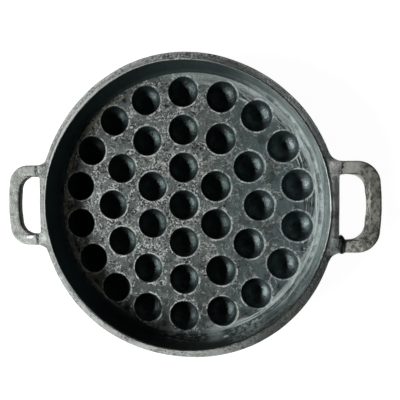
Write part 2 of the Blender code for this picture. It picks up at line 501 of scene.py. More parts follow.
@dataclass(frozen=True)
class Scratch(Pattern):
    """One wavering line as seen from above. Its middle, half length and half width are in millimetres."""

    place: tuple[float, float]
    length: float
    width: float
    turn: float
    waver: float
    bends_per_mm: ClassVar[float] = 0.16
    bend_reach: ClassVar[float] = 4.0
    core: ClassVar[float] = 0.5

    def mask(self, swatch: Swatch) -> bpy.types.NodeSocket:
        """Make the nodes of the pattern, as Pattern.mask says."""
        tree = swatch.tree
        inputs = {
            "Vector": swatch.flat,
            "Location": (self.place[0] * MM, self.place[1] * MM, 0.0),
            "Rotation": (0.0, 0.0, math.radians(self.turn)),
            "Scale": (MM, MM, 1.0),
        }
        own = add_node(tree, "ShaderNodeMapping", inputs, vector_type="TEXTURE")
        parts = add_node(tree, "ShaderNodeSeparateXYZ", {0: own.outputs[0]})
        inputs = {"Vector": own.outputs[0], "Scale": self.bends_per_mm, "Detail": 3.0}
        cloud = add_node(tree, "ShaderNodeTexNoise", inputs)
        bend = add_node(tree, "ShaderNodeMath", {0: cloud.outputs[0], 1: 0.5}, operation="SUBTRACT")
        inputs = {0: bend.outputs[0], 1: self.bend_reach * self.waver, 2: parts.outputs["Y"]}
        aside = add_node(tree, "ShaderNodeMath", inputs, operation="MULTIPLY_ADD")
        ends = []
        for offset, reach in ((aside.outputs[0], self.width), (parts.outputs["X"], self.length)):
            distance = add_node(tree, "ShaderNodeMath", {0: offset}, operation="ABSOLUTE")
            inputs = {"Value": distance.outputs[0], "From Min": reach, "From Max": reach * self.core}
            ends.append(add_node(tree, "ShaderNodeMapRange", inputs).outputs[0])
        return add_node(tree, "ShaderNodeMath", dict(enumerate(ends)), operation="MULTIPLY").outputs[0]


@dataclass(frozen=True)
class Ramp(Pattern):
    """Grows from 0 at one place to 1 at another, both in millimetres along one way."""

    way: Way
    start: float
    end: float

    def mask(self, swatch: Swatch) -> bpy.types.NodeSocket:
        """Make the nodes of the pattern, as Pattern.mask says."""
        source = swatch.outward
        if self.way is not Way.OUTWARD:
            axes = add_node(swatch.tree, "ShaderNodeSeparateXYZ", {0: swatch.straight})
            source = axes.outputs[self.way.value]
        inputs = {"Value": source, "From Min": self.start * MM, "From Max": self.end * MM}
        ramp = add_node(swatch.tree, "ShaderNodeMapRange", inputs, interpolation_type="SMOOTHSTEP")
        return ramp.outputs[0]


# Ramps from left to right, away from the cook, upwards and outwards from the pan's axis.
across, away, up, outward = (partial(Ramp, way) for way in Way)


@dataclass(frozen=True)
class Mark(Pattern):
    """A value that the mesh's own points carry, spread from where it is low to where it is high."""

    name: str
    low: float = 0.0
    high: float = 1.0

    def mask(self, swatch: Swatch) -> bpy.types.NodeSocket:
        """Make the nodes of the pattern, as Pattern.mask says."""
        carried = add_node(swatch.tree, "ShaderNodeAttribute", attribute_name=self.name).outputs["Fac"]
        inputs = {"Value": carried, "From Min": self.low, "From Max": self.high}
        return add_node(swatch.tree, "ShaderNodeMapRange", inputs).outputs[0]


@dataclass(frozen=True)
class Joined(Pattern):
    """Two patterns put together by one step of arithmetic."""

    pair: tuple[Pattern, Pattern]
    operation: str

    def mask(self, swatch: Swatch) -> bpy.types.NodeSocket:
        """Make the nodes of the pattern, as Pattern.mask says."""
        inputs = {i: pattern.mask(swatch) for i, pattern in enumerate(self.pair)}
        return add_node(swatch.tree, "ShaderNodeMath", inputs, operation=self.operation).outputs[0]


@dataclass(frozen=True)
class Ragged(Pattern):
    """A pattern whose edge another one tears, by a share of its whole range."""

    whole: Pattern
    torn_by: Pattern
    amount: float
    low: float = 0.4
    high: float = 0.6

    def mask(self, swatch: Swatch) -> bpy.types.NodeSocket:
        """Make the nodes of the pattern, as Pattern.mask says."""
        inputs = {0: self.torn_by.mask(swatch), 1: self.amount, 2: self.whole.mask(swatch)}
        torn = add_node(swatch.tree, "ShaderNodeMath", inputs, operation="MULTIPLY_ADD")
        low, high = self.low + self.amount / 2, self.high + self.amount / 2
        inputs = {"Value": torn.outputs[0], "From Min": low, "From Max": high}
        edge = add_node(swatch.tree, "ShaderNodeMapRange", inputs, interpolation_type="SMOOTHSTEP")
        return edge.outputs[0]


@dataclass(frozen=True)
class Coat:
    """A colour laid over those before it, where its pattern shows."""

    colour: str
    pattern: Pattern
    strength: float = 1.0


@dataclass(frozen=True)
class Relief:
    """A pattern that stands proud of the surface, or is sunk where its height in millimetres is negative."""

    pattern: Pattern
    height: float


@dataclass(frozen=True)
class IronFinish:
    """A finish of cast iron: colours over a base colour, a roughness from smooth to rough, and a fine relief.

    Bare iron is a metal, but the burnt-on oil and the casting skin that cover most of this pan are not, so
    most finishes have little or no metallic in them. In the cups the baked oil is smooth, and mirrors the
    room as dark metal does.
    """

    name: str
    base: str
    coats: tuple[Coat, ...]
    reliefs: tuple[Relief, ...]
    smooth: float = 0.4
    rough: float = 0.6
    rough_where: Pattern = Clouds(6, 0.3, 0.7, 5)
    metallic: float = 0.0
    specular: float = 0.5

    def material(self) -> bpy.types.Material:
        """Build the finish.

        Returns:
            A new material.
        """
        material = bpy.data.materials.new(self.name)
        material.use_nodes = True
        tree = material.node_tree
        shader = tree.nodes["Principled BSDF"]
        shader.inputs["Metallic"].default_value = self.metallic
        shader.inputs["Specular IOR Level"].default_value = self.specular

        place = add_node(tree, "ShaderNodeTexCoord").outputs["Object"]
        inputs = {0: place, 1: (1, 1, 0)}
        flat = add_node(tree, "ShaderNodeVectorMath", inputs, operation="MULTIPLY").outputs[0]
        radius = add_node(tree, "ShaderNodeVectorMath", {0: flat}, operation="LENGTH").outputs["Value"]
        around = add_node(tree, "ShaderNodeVectorMath", {0: flat}, operation="NORMALIZE").outputs[0]
        # Wrapped coordinates go round the axis as on the rim's inner edge. Height and radius are added up, so
        # that a pattern runs on from the floor to the wall.
        height = add_node(tree, "ShaderNodeSeparateXYZ", {0: place}).outputs["Z"]
        rise = add_node(tree, "ShaderNodeMath", {0: height, 1: radius}, operation="ADD").outputs[0]
        level = add_node(tree, "ShaderNodeCombineXYZ", {"Z": rise}).outputs[0]
        arm = PanSizes().rim_inner
        inputs = {0: around, 1: (arm, arm, 0), 2: level}
        wrapped = add_node(tree, "ShaderNodeVectorMath", inputs, operation="MULTIPLY_ADD").outputs[0]
        swatch = Swatch(tree, place, flat, wrapped, radius)

        below = linear(self.base)
        for coat in self.coats:
            inputs = {0: coat.pattern.mask(swatch), 1: coat.strength}
            share = add_node(tree, "ShaderNodeMath", inputs, operation="MULTIPLY").outputs[0]
            inputs = {0: share, 6: below, 7: linear(coat.colour)}
            below = add_node(tree, "ShaderNodeMix", inputs, data_type="RGBA").outputs[2]
        tree.links.new(below, shader.inputs["Base Color"])

        inputs = {0: self.rough_where.mask(swatch), "To Min": self.smooth, "To Max": self.rough}
        spread = add_node(tree, "ShaderNodeMapRange", inputs)
        tree.links.new(spread.outputs[0], shader.inputs["Roughness"])

        normal = {}
        for relief in self.reliefs:
            inputs = {"Height": relief.pattern.mask(swatch), "Distance": abs(relief.height) * MM, **normal}
            bump = add_node(tree, "ShaderNodeBump", inputs, invert=relief.height < 0)
            normal = {"Normal": bump.outputs[0]}
        tree.links.new(normal["Normal"], shader.inputs["Normal"])
        return material


# Patterns that more than one finish shares. The grains left by the mould are finer than a pixel of the
# photograph, so they are drawn about 3 mm across, as coarse as they need to be to show.
SAND_GRAIN = Clouds(3.0, 0.28, 0.72, 3, detail=5)
HAND_WAVES = Clouds(9, 0.25, 0.75, 8, detail=2)
LIP_BEADS = Clouds(2.8, 0.30, 0.48, 15, detail=4)
# Pale worn lips; their mark also carries painted light, paler on the lips' lit sides and in the left wall's
# shadow.
LIP_WEAR_AND_LIGHT = Ragged(Mark("worn"), Clouds(7, 0.32, 0.68, 10, detail=5), 1.3, 0.75, 1.05) & LIP_BEADS
# The wall's right side, which the window lights. The wall finish paints it pale teal and the rest of the wall
# dark, as painted light and shade, and draws its streaks and grains only there.
PAINTED_LIT_SIDE = across(45, 195)
WELD_CRACKS = (
    Scratch((-199.5, 46.5), 10, 0.5, 84, 2.0)
    | Scratch((-199.0, -46.5), 10, 0.5, 96, 2.4)
    | Scratch((196.6, 46.5), 10, 0.6, 80, 1.8)
)


def floor_finish() -> IronFinish:
    """Scoured cast iron between the cups: dark seasoning, scuffed through to paler metal round their lips.
    Painted light makes the lips' lit sides and the floor in the left wall's shadow paler, painted shade
    darkens the front, and a painted highlight lies by the front wall.
    """
    middle_and_left = across(130, -10) & away(-170, -40)
    scuffed = Ragged(Mark("scuffed") | middle_and_left, Clouds(11, 0.3, 0.7, 2, detail=4), 1.1, 0.35, 0.65)
    pits = Clouds((4.6, 2.8, 3.2), 0.48, 0.54, 6, detail=5, turn=35)
    specks = Clouds(2.7, 0.52, 0.59, 14, detail=5)
    grainy = scuffed & Clouds(15, 0.42, 0.54, 16)
    net = Threads(7, 0.045, 21, detail=4) & scuffed & Clouds(19, 0.40, 0.56, 22)
    hollows = Mark("scuffed", 0.5, 0.1) & outward(157, 162) & outward(170, 167)
    right = across(0, 110)
    foot = outward(165.5, 170.5) & right
    speckled_lip = Mark("scuffed", 0.62, 0.95) & Clouds(2.8, 0.44, 0.56, 24, detail=5) & right
    dark_grains = Clouds(4, 0.52, 0.60, 25, detail=5) & Clouds(17, 0.42, 0.56, 26) & right
    left_grains = Clouds(3.2, 0.52, 0.60, 87, detail=5) & Clouds(13, 0.40, 0.54, 88) & across(40, -20)
    upper_right = across(15, 60) & away(-40, 20)
    gaps = outward(153, 157) & outward(168, 164) & upper_right
    foot_line = outward(166.5, 168.5) & outward(172.0, 170.5)
    # Paler tan floor in the left wall's shadow: partly its own tone, partly painted light that lifts the
    # shadow.
    tone_and_light_near_wall = across(-80, -150) & outward(140, 160)
    return IronFinish(
        name="scoured_floor_iron",
        base="#4a5452",
        coats=(
            Coat("#3b4442", Clouds(24, 0.45, 0.60, 4, detail=4), 0.8),
            Coat("#636966", scuffed, 0.75),
            Coat("#4d5350", Clouds(9, 0.48, 0.60, 17, detail=5) & scuffed, 0.75),
            Coat("#8f8a78", tone_and_light_near_wall, 0.6),
            Coat("#2e3432", Spot((-80, 5), (40, 105)) & Clouds(16, 0.40, 0.54, 28), 0.8),
            Coat("#0c100f", pits & (grainy | foot), 0.95),
            Coat("#1b201f", left_grains, 0.7),
            Coat("#aeb4b0", net, 0.65),
            Coat("#cbd0cc", specks & scuffed & Clouds(12, 0.43, 0.56, 20) & across(130, 20), 0.85),
            Coat("#232928", dark_grains, 0.5),
            Coat("#536161", Clouds(19, 0.41, 0.51, 68, detail=2) & right, 0.85),
            Coat("#565e5b", Clouds(13, 0.54, 0.58, 69, detail=2) & across(90, 30), 0.8),
            Coat("#b9c1be", speckled_lip, 0.85),
            Coat("#b9c3c1", Threads(8, 0.035, 28, detail=4) & right & Clouds(22, 0.52, 0.60, 29), 0.65),
            # Painted shade: the front of the floor is darker, as if the front of the wall shaded it.
            Coat("#1e2423", away(-60, -170) & Clouds(20, 0.40, 0.58, 13), 0.6),
            Coat("#9aa09c", Threads(30, 0.010, 5) & Clouds(26, 0.42, 0.55, 9), 0.6),
            Coat("#131716", hollows & Clouds((14, 14, 3), 0.42, 0.56, 12, wrapped=True), 0.85),
            Coat("#a6b2b0", foot & Clouds((34, 34, 3.2), 0.36, 0.54, 19, detail=4, wrapped=True), 0.9),
            Coat("#cdd8d6", foot & Clouds((26, 26, 1.6), 0.50, 0.58, 23, detail=3, wrapped=True), 0.85),
            Coat(
                "#8c9794",
                outward(156, 164)
                & across(-50, 10)
                & away(50, 110)
                & Clouds((44, 44, 5), 0.36, 0.56, 76, wrapped=True, detail=4),
                0.75,
            ),
            Coat("#141918", gaps & Clouds((22, 22, 2.2), 0.49, 0.56, 85, wrapped=True, detail=4), 0.8),
            Coat("#c6cecc", gaps & Clouds((28, 28, 1.5), 0.53, 0.59, 86, wrapped=True, detail=3), 0.8),
            # Painted highlight: the pale blob on the front of the wall runs on onto the floor.
            Coat("#939e9b", Spot((44, -163), (12, 7), -8, 0.8) & Clouds(6, 0.28, 0.50, 27, detail=5), 0.9),
            Coat(
                "#a59c84",
                foot_line & across(-60, -120) & Clouds((40, 40, 2), 0.40, 0.55, 70, wrapped=True),
                0.75,
            ),
            # Pale worn lips, partly wear and partly painted light.
            Coat("#c2c8c5", LIP_WEAR_AND_LIGHT, 0.85),
        ),
        reliefs=(Relief(HAND_WAVES, 0.3), Relief(SAND_GRAIN, 0.22), Relief(pits, -0.15)),
        smooth=0.45,
        rough=0.62,
        specular=0.2,
    )


def bowl_finish() -> IronFinish:
    """Seasoned cast iron in the cups: baked oil, grey on the flanks, painted lighter in the right-hand cups
    and darker in the left-hand ones to even out the window's light, and darker at the bottom as painted
    shade.
    """
    return IronFinish(
        name="seasoned_cup_iron",
        base="#505d5c",
        coats=(
            # Painted light: the right-hand cups, farther from the window, are painted lighter.
            Coat("#758283", across(60, 130), 0.9),
            # Painted shade: the left-hand cups, nearer the window, are painted darker.
            Coat("#333b3a", across(-60, -130), 1.0),
            Coat("#252c2b", Clouds(12, 0.42, 0.62, 21), 0.5),
            # Painted shade: darker towards the cups' shadowed bottoms.
            Coat("#0e1010", up(5.5, 3), 0.3),
        ),
        reliefs=(Relief(Clouds(7, 0.25, 0.75, 23, detail=4), 0.3), Relief(Clouds(2.8, 0.3, 0.7, 29), 0.25)),
        smooth=0.40,
        rough=0.50,
        rough_where=Clouds(6, 0.35, 0.65, 24, detail=4) | across(-60, -130),
        metallic=0.9,
        specular=0.6,
    )


def wall_finish() -> IronFinish:
    """Turned and seasoned cast iron on the wall's inside: painted dark as painted shade, pale teal on the
    right where the window lights it, and lifted at the far left as painted bounce light.
    """
    streaks = Clouds((44, 44, 3), 0.46, 0.60, 31, wrapped=True, detail=5)
    pale = Clouds((30, 30, 9), 0.40, 0.60, 32, wrapped=True)
    low = up(44, 31)
    # A pale band in the fillet at the wall's foot on the right: a painted highlight where the window's light
    # glances off the curve.
    painted_fillet_highlight = Ragged(up(30, 25), Clouds((18, 18, 10), 0.3, 0.7, 36, wrapped=True), 0.9)
    return IronFinish(
        name="seasoned_wall_iron",
        base="#2a3434",
        coats=(
            # Painted light and shade: the right side keeps a pale teal, and the dark base stands for shade
            # everywhere else.
            Coat("#677271", PAINTED_LIT_SIDE, 1.0),
            # Painted light: the shaded left side is lifted a little, standing in for light bounced off the
            # floor.
            Coat("#4f6264", across(-70, -170), 0.9),
            Coat("#8d9998", pale & PAINTED_LIT_SIDE, 0.7),
            Coat("#414b49", streaks & PAINTED_LIT_SIDE, 0.75),
            Coat("#a9b5b3", painted_fillet_highlight & PAINTED_LIT_SIDE, 0.75),
            Coat(
                "#55605e",
                Clouds((30, 30, 1.8), 0.54, 0.64, 33, wrapped=True, detail=4) & PAINTED_LIT_SIDE,
                0.6,
            ),
            Coat(
                "#27302f",
                Spot((120, -128), (72, 26), 43) & Clouds((34, 34, 5), 0.40, 0.58, 48, wrapped=True, detail=4),
                0.75,
            ),
            Coat("#2f3736", up(26, 23) & Clouds(16, 0.44, 0.60, 34), 0.7),
            Coat("#1c2423", up(43, 49) & Spot((90, -156), (52, 14), 31, 0.7), 0.75),
            # Painted highlight: a pale blob low on the front of the wall.
            Coat(
                "#8b9694",
                Spot((44, -173.5), (10, 8), -8, 0.7) & Clouds(6, 0.28, 0.50, 57, detail=4) & low,
                0.85,
            ),
            # Painted highlight: a bright spot on the front of the wall.
            Coat("#d4dcda", Spot((57, -169.5), (3.2, 3.4), 20) & up(36.0, 33) & up(28, 31), 0.9),
            Coat("#8e9997", Spot((84, -156), (24, 5), 28) & Clouds((5, 5, 3), 0.44, 0.56, 39, detail=4), 0.8),
            Coat(
                "#747b74",
                Spot((4, -178), (40, 6), 2) & low & Clouds((9, 9, 2.5), 0.52, 0.58, 40, detail=4),
                0.8,
            ),
            Coat("#4c5755", Clouds(3.6, 0.52, 0.66, 37, detail=4) & PAINTED_LIT_SIDE, 0.5),
            Coat("#a7b2b0", Clouds(3.2, 0.56, 0.70, 38, detail=4) & PAINTED_LIT_SIDE, 0.5),
        ),
        reliefs=(Relief(HAND_WAVES, 0.3), Relief(SAND_GRAIN, 0.1)),
        smooth=0.36,
        rough=0.5,
        rough_where=Clouds((10, 10, 30), 0.35, 0.65, 35, wrapped=True),
        specular=0.06,
    )


def rim_finish() -> IronFinish:
    """Ground cast iron on the rim and ears: light grey, pitted along its middle, bright at the inner edge. As
    painted light and shade it is lighter on the right and darker on the left, with painted highlights on the
    right ear flat and painted shade along the right inner edge.
    """
    pitted = Clouds(3.2, 0.47, 0.60, 41, detail=5) & Clouds(18, 0.36, 0.56, 42)
    band = Ragged(outward(182.6, 184.4) & outward(190, 186), Clouds(6, 0.3, 0.7, 43), 0.9)
    inner_edge = Ragged(outward(185.0, 183.4), Clouds(8, 0.3, 0.7, 45), 0.7)
    left_half = across(60, 0)
    near_right_ear = across(100, 150) & away(-70, -30) & away(80, 40)
    # Painted shade: the crease beside the inner ridge on the right, which faces away from the window.
    painted_crease_shade = outward(184.0, 184.8) & outward(186.2, 185.4) & across(10, 60)
    return IronFinish(
        name="ground_rim_iron",
        base="#969b97",
        coats=(
            # Painted light: the right side, farther from the window, is painted lighter.
            Coat("#bfccca", across(90, 160), 1.0),
            # Painted shade: the left side, nearest the window, is painted darker.
            Coat("#777c78", across(-110, -175), 1.0),
            Coat("#a9ada8", Clouds(14, 0.45, 0.62, 44), 0.5),
            Coat("#c4c8c5", Spot((-120, 145), (75, 30), 40), 0.5),
            Coat("#656a68", band & away(-190, -60), 0.7),
            Coat("#3f4442", pitted, 0.8),
            Coat("#dee9e7", Spot((135, 135), (70, 20), -45), 0.45),
            # Painted highlight on the flat between the right ears.
            Coat("#d6dad6", Spot((190, 0), (9, 44)), 0.45),
            Coat("#c2c6c2", Spot((-5, -189), (75, 12)), 0.5),
            Coat("#dfe3df", Spot((137, 137), (75, 12), -45) & Clouds(2.8, 0.50, 0.58, 89, detail=5), 0.6),
            Coat("#484c48", Spot((147, -115), (84, 26), 52), 0.8),
            Coat("#d6dad6", Spot((-12, 188), (80, 9)) & Clouds(3.6, 0.40, 0.56, 59, detail=5), 0.6),
            Coat("#1f2321", Spot((14, 185.5), (60, 5)) & Clouds(2.6, 0.48, 0.56, 50, detail=5), 0.75),
            Coat(
                "#2e3230",
                Spot((-14, -187.5), (46, 3.5)) & Clouds((3.4, 2.2, 2.6), 0.49, 0.57, 77, detail=5),
                0.75,
            ),
            # Painted shade: the right part of the inner edge is dulled where it would catch the window's
            # light.
            Coat("#565c5a", outward(185.0, 183.6) & across(5, 60) & away(40, 90), 0.85),
            Coat("#cdd1cd", Spot((-112, 148), (76, 18), 37) & Clouds(3, 0.48, 0.60, 55, detail=5), 0.55),
            Coat("#b4b8b5", inner_edge & left_half & away(-120, 40) & away(178, 140), 0.8),
            Coat("#c9cdca", inner_edge & near_right_ear & Clouds(9, 0.32, 0.48, 49), 0.35),
            # Painted highlight on the flat between the right ears, brightest at its core.
            Coat("#f4fbf8", Spot((190, 4), (9, 40)) & Clouds(14, 0.32, 0.54, 78), 0.95),
            # Painted shade in the crease beside the inner ridge.
            Coat("#2b302e", painted_crease_shade & Clouds(22, 0.38, 0.54, 47), 0.5),
            Coat("#0f1111", inner_edge & away(-60, -150), 1.0),
            Coat("#6e6a5c", Clouds(26, 0.56, 0.72, 46), 0.35),
            Coat("#fcfcf6", Spot((189, 50), (7.5, 6), 0, 0.25), 1.0),
            Coat("#1d1f1e", WELD_CRACKS, 0.9),
        ),
        reliefs=(Relief(HAND_WAVES, 0.25), Relief(SAND_GRAIN, 0.22), Relief(pitted, -0.2)),
        smooth=0.42,
        rough=0.6,
        metallic=0.1,
        specular=0.3,
    )


def sand_cast_finish() -> IronFinish:
    """Cast iron as it left the sand mould, on the outside and the underside: grainy, dark and dull."""
    return IronFinish(
        name="sand_cast_iron",
        base="#4b4e4c",
        coats=(
            Coat("#333635", Clouds(24, 0.42, 0.62, 51), 0.8),
            Coat("#626662", Clouds(3.2, 0.50, 0.66, 52, detail=5), 0.55),
            Coat("#262827", Clouds(3.6, 0.56, 0.66, 54, detail=4), 0.6),
            Coat("#4c3f34", Clouds(20, 0.58, 0.74, 53), 0.35),
        ),
        reliefs=(Relief(HAND_WAVES, 0.35), Relief(SAND_GRAIN, 0.35)),
        smooth=0.55,
        rough=0.75,
        specular=0.3,
    )


def handle_finish() -> IronFinish:
    """Cast iron of the loop handles: light grey, dressed with a file, with darker skin left in hollows, and
    the right loop painted lighter as painted light, where the window's light is weaker.
    """
    left_hollow = up(48.4, 47.4) & across(-232, -230) & across(-150, -170) & away(-45, -43.5) & away(45, 43.5)
    return IronFinish(
        name="filed_handle_iron",
        base="#7f837e",
        coats=(
            Coat("#8f928e", Clouds(13, 0.45, 0.62, 61), 0.6),
            Coat("#585c57", Clouds(9, 0.52, 0.66, 62, detail=5), 0.6),
            Coat("#b4b8b3", Spot((-210, 47), (14, 8)) | Spot((-210, -47), (14, 8)), 0.3),
            # Painted light: the right loop, farther from the window, is painted lighter.
            Coat("#adaea5", across(120, 190), 0.9),
            Coat("#8d8f87", across(212, 222), 0.9),
            Coat("#5b5b52", across(218, 228) & Clouds((8, 12, 8), 0.44, 0.60, 66, detail=4), 0.75),
            Coat("#33332d", Clouds(5, 0.53, 0.64, 63, detail=5) & across(60, 220), 0.7),
            Coat("#9fa19d", Clouds((14, 1.6, 14), 0.60, 0.67, 64, turn=70) & Clouds(18, 0.45, 0.6, 65), 0.7),
            Coat("#bfc0b8", Spot((207, 46.5), (7, 7), 0, 0.3), 0.75),
            Coat("#63655e", Spot((208, -46), (12, 9)), 0.7),
            Coat("#c9c9c0", Threads(5, 0.08, 7) & Spot((209, -46), (12, 10)), 0.85),
            Coat("#1e1e1a", Scratch((208, -39.4), 10, 0.9, 4, 0.8), 0.85),
            Coat("#d8d8d0", Scratch((219.5, -50), 4, 0.8, 80, 0.5), 0.85),
            Coat("#bdbdb2", Scratch((220, 4), 30, 0.9, 90, 0.5), 0.8),
            Coat("#26261f", Scratch((222.6, -2), 34, 0.7, 90, 0.9), 0.8),
            Coat("#262620", Spot((223, 0), (4, 34)) & Clouds((4, 6, 4), 0.47, 0.56, 74, detail=5), 0.85),
            Coat("#2b2b25", Spot((228, -34), (14, 10)) & Clouds(4, 0.50, 0.58, 75, detail=5), 0.8),
            Coat("#d0d0c6", Scratch((227.6, 6), 27, 0.9, 92, 1.5), 0.85),
            Coat("#20201b", Scratch((208, 39.2), 9, 0.8, -3, 0.7), 0.85),
            Coat("#55595a", Scratch((-232, 3), 7, 0.6, 4, 0.6), 0.7),
            Coat("#161918", Ragged(left_hollow, Clouds(4, 0.3, 0.7, 67), 0.5), 0.9),
            Coat(
                "#1b1d1c",
                Scratch((-210, -40), 10, 1.0, 4, 1.0) | Scratch((-211, 39.6), 8, 0.8, 0, 0.9),
                0.9,
            ),
            Coat("#eef2f0", Spot((-209.5, -43.5), (4.5, 1.7), 6), 0.9),
            Coat("#1d1f1e", WELD_CRACKS, 0.9),
        ),
        reliefs=(Relief(HAND_WAVES, 0.3), Relief(SAND_GRAIN, 0.2)),
        smooth=0.42,
        rough=0.62,
        metallic=0.1,
        specular=0.3,
    )


def bead_finish() -> IronFinish:
    """Weld metal dressed down beside the bars that it joins: grey, lumpy, with a dark crack along it, and
    painted lighter on the right as painted light.
    """
    return IronFinish(
        name="weld_bead_iron",
        base="#7a7e79",
        coats=(
            # Painted light: the right beads, farther from the window, are painted lighter.
            Coat("#a2a49d", across(120, 190), 0.9),
            Coat("#3c403e", Clouds(4, 0.50, 0.64, 71, detail=5), 0.8),
            Coat("#1d1f1e", WELD_CRACKS, 0.95),
        ),
        reliefs=(Relief(Clouds(3, 0.25, 0.75, 73), 0.5), Relief(SAND_GRAIN, 0.2)),
        smooth=0.5,
        rough=0.75,
        specular=0.2,
    )


def burnt_bead_finish() -> IronFinish:
    """Weld metal burnt black, with a glassy spot of slag here and there."""
    return IronFinish(
        name="burnt_weld_iron",
        base="#090a09",
        coats=(
            Coat("#262623", Clouds(3.5, 0.57, 0.70, 81), 0.8),
            Coat("#6d6e66", across(197.6, 198.8) & away(-43, -47), 0.9),
        ),
        reliefs=(Relief(Clouds(3, 0.25, 0.75, 82), 0.5), Relief(SAND_GRAIN, 0.15)),
        smooth=0.3,
        rough=0.65,
        rough_where=Clouds(3, 0.4, 0.6, 83),
        specular=0.12,
    )


@dataclass
class CupFloor:
    """The floor with its cups, as far out as the foot of the wall.

    A cell is a cup with the floor around it, out to a border that it shares with its neighbours. One cell is
    drawn for each ring, and a tree of geometry nodes repeats it round the axis. The border between two rings
    is a polygon whose sides share out evenly among the cells of both.
    """

    sizes: PanSizes
    underside: bpy.types.Material
    lip_radius: float = 0.0010
    cup_fillet: float = 0.0012
    worn_reach: float = 0.0022
    worn_steps: tuple[tuple[float, float], ...] = ((0.15, 1.0), (0.5, 1.0), (1.15, 0.0))
    scuff_reach: float = 0.0075
    # The lips' lit sides on the pan's right, and the lips in the left wall's shadow, are painted paler as
    # painted light.
    lit_side_lips_from: float = -0.03
    lip_paint_fade: float = 0.12
    lit_side_lip_paint: float = 0.55
    worn_left_from: float = -0.03
    left_wear: float = 0.35
    calm_border: float = 0.004
    wave_size: float = 0.018
    wave_height: float = 0.00018
    merge_reach: float = 0.00005
    edge_slack: float = 1e-6
    segments: int = 64
    bowl_steps: int = 14
    lip_steps: int = 4
    bump_steps: int = 7
    fillet_steps: int = 3
    border_sides: tuple[int, ...] = (6, 24, 72, 360)

    @property
    def bowl_radius(self) -> float:
        """Radius of the sphere that a cup's inside is part of."""
        throat = self.sizes.mouth_radius - self.sizes.throat_inset
        depth = self.sizes.cup_depth - self.sizes.throat_inset
        return (throat**2 + depth**2) / (2 * depth)

    @property
    def centre_height(self) -> float:
        """Height of that sphere's centre."""
        return self.sizes.floor_top - self.sizes.cup_depth + self.bowl_radius

    def border_lines(self, sides: int, distance: float, half_angle: float) -> list[tuple[float, float]]:
        """A regular polygon's edges within half_angle of +X, each as its normal's bearing and distance."""
        step = math.tau / sides
        return [(step * (i + 0.5) - half_angle, distance) for i in range(round(2 * half_angle / step))]

    def corners(self, ring: int) -> list[tuple[float, float]]:
        """Corners of a cell whose cup is on +X.

        Args:
            ring: 0 for the middle cup, then 1 to 3.

        Returns:
            The corners, anticlockwise.
        """
        sizes = self.sizes
        reach = (ring + 0.5) * sizes.pitch
        if ring == len(sizes.cups_in_ring):
            reach = sizes.floor_radius * math.cos(math.pi / self.border_sides[ring])
        if ring == 0:
            sides = self.border_sides[0]
            lines = [(math.tau * i / sides, reach) for i in range(sides)]
        else:
            half = math.pi / sizes.cups_in_ring[ring - 1]
            inner = self.border_lines(self.border_sides[ring - 1], (ring - 0.5) * sizes.pitch, half)
            outer = self.border_lines(self.border_sides[ring], reach, half)
            lines = [(-half - math.pi / 2, 0.0), *outer, (half + math.pi / 2, 0.0), *reversed(inner)]
        found = []
        for (a, d), (b, e) in zip(lines, lines[1:] + lines[:1]):
            turn = math.sin(b - a)
            x = (d * math.sin(b) - e * math.sin(a)) / turn
            found.append((x, (e * math.cos(a) - d * math.cos(b)) / turn))
        return found

    def inside(self) -> list[tuple[float, float, float, int]]:
        """The cup's inside from its bottom up and over the lip.

        Returns:
            For each circle its radius, its height, how worn it is and its zone.
        """
        sizes, bowl, centre_z = self.sizes, self.bowl_radius, self.centre_height
        lip_z = sizes.floor_top - self.lip_radius
        tilt = math.acos((centre_z - lip_z) / (bowl + self.lip_radius))
        lip_x = (bowl + self.lip_radius) * math.sin(tilt)
        circles = []
        for i in range(1, self.bowl_steps + 1):
            angle = tilt * i / self.bowl_steps
            circles.append((bowl * math.sin(angle), centre_z - bowl * math.cos(angle), 0.0, 1))
        over_lip = arc((lip_x, lip_z), self.lip_radius, math.pi / 2 + tilt, math.pi / 2, self.lip_steps)
        circles += [(x, z, 0.0, 1) for x, z in over_lip[1:]]
        for share, worn in self.worn_steps:
            circles.append((lip_x + self.worn_reach * share, sizes.floor_top, worn, 0))
        return circles

    def outside(self) -> Profile:
        """The cup's outside from the floor's underside down to its foot, as radius and height."""
        sizes, centre_z = self.sizes, self.centre_height
        bump = self.bowl_radius + sizes.cup_wall
        fillet_z = sizes.floor_top - sizes.floor_thickness - self.cup_fillet
        tilt = math.acos((centre_z - fillet_z) / (bump + self.cup_fillet))
        fillet_x = (bump + self.cup_fillet) * math.sin(tilt)
        level = math.pi / 2
        profile = arc((fillet_x, fillet_z), self.cup_fillet, level, level + tilt, self.fillet_steps)
        foot = math.acos(centre_z / bump)
        for i in range(1, self.bump_steps + 1):
            angle = tilt + (foot - tilt) * i / self.bump_steps
            profile.append((bump * math.sin(angle), centre_z - bump * math.cos(angle)))
        return profile

    def cell_mesh(self, ring: int) -> bpy.types.Mesh:
        """Draw the cell of one ring, with its cup on +X.

        Args:
            ring: 0 for the middle cup, then 1 to 3.

        Returns:
            The cell's upper and lower skins, joined only at the floor's own edge.
        """
        centre_x = ring * self.sizes.pitch
        draft = Draft()

        def circle(radius: float, z: float, **marks: float) -> list[int]:
            turns = [math.tau * i / self.segments for i in range(self.segments)]
            points = [(centre_x + radius * math.cos(a), radius * math.sin(a), z) for a in turns]
            return draft.ring(points, **marks)

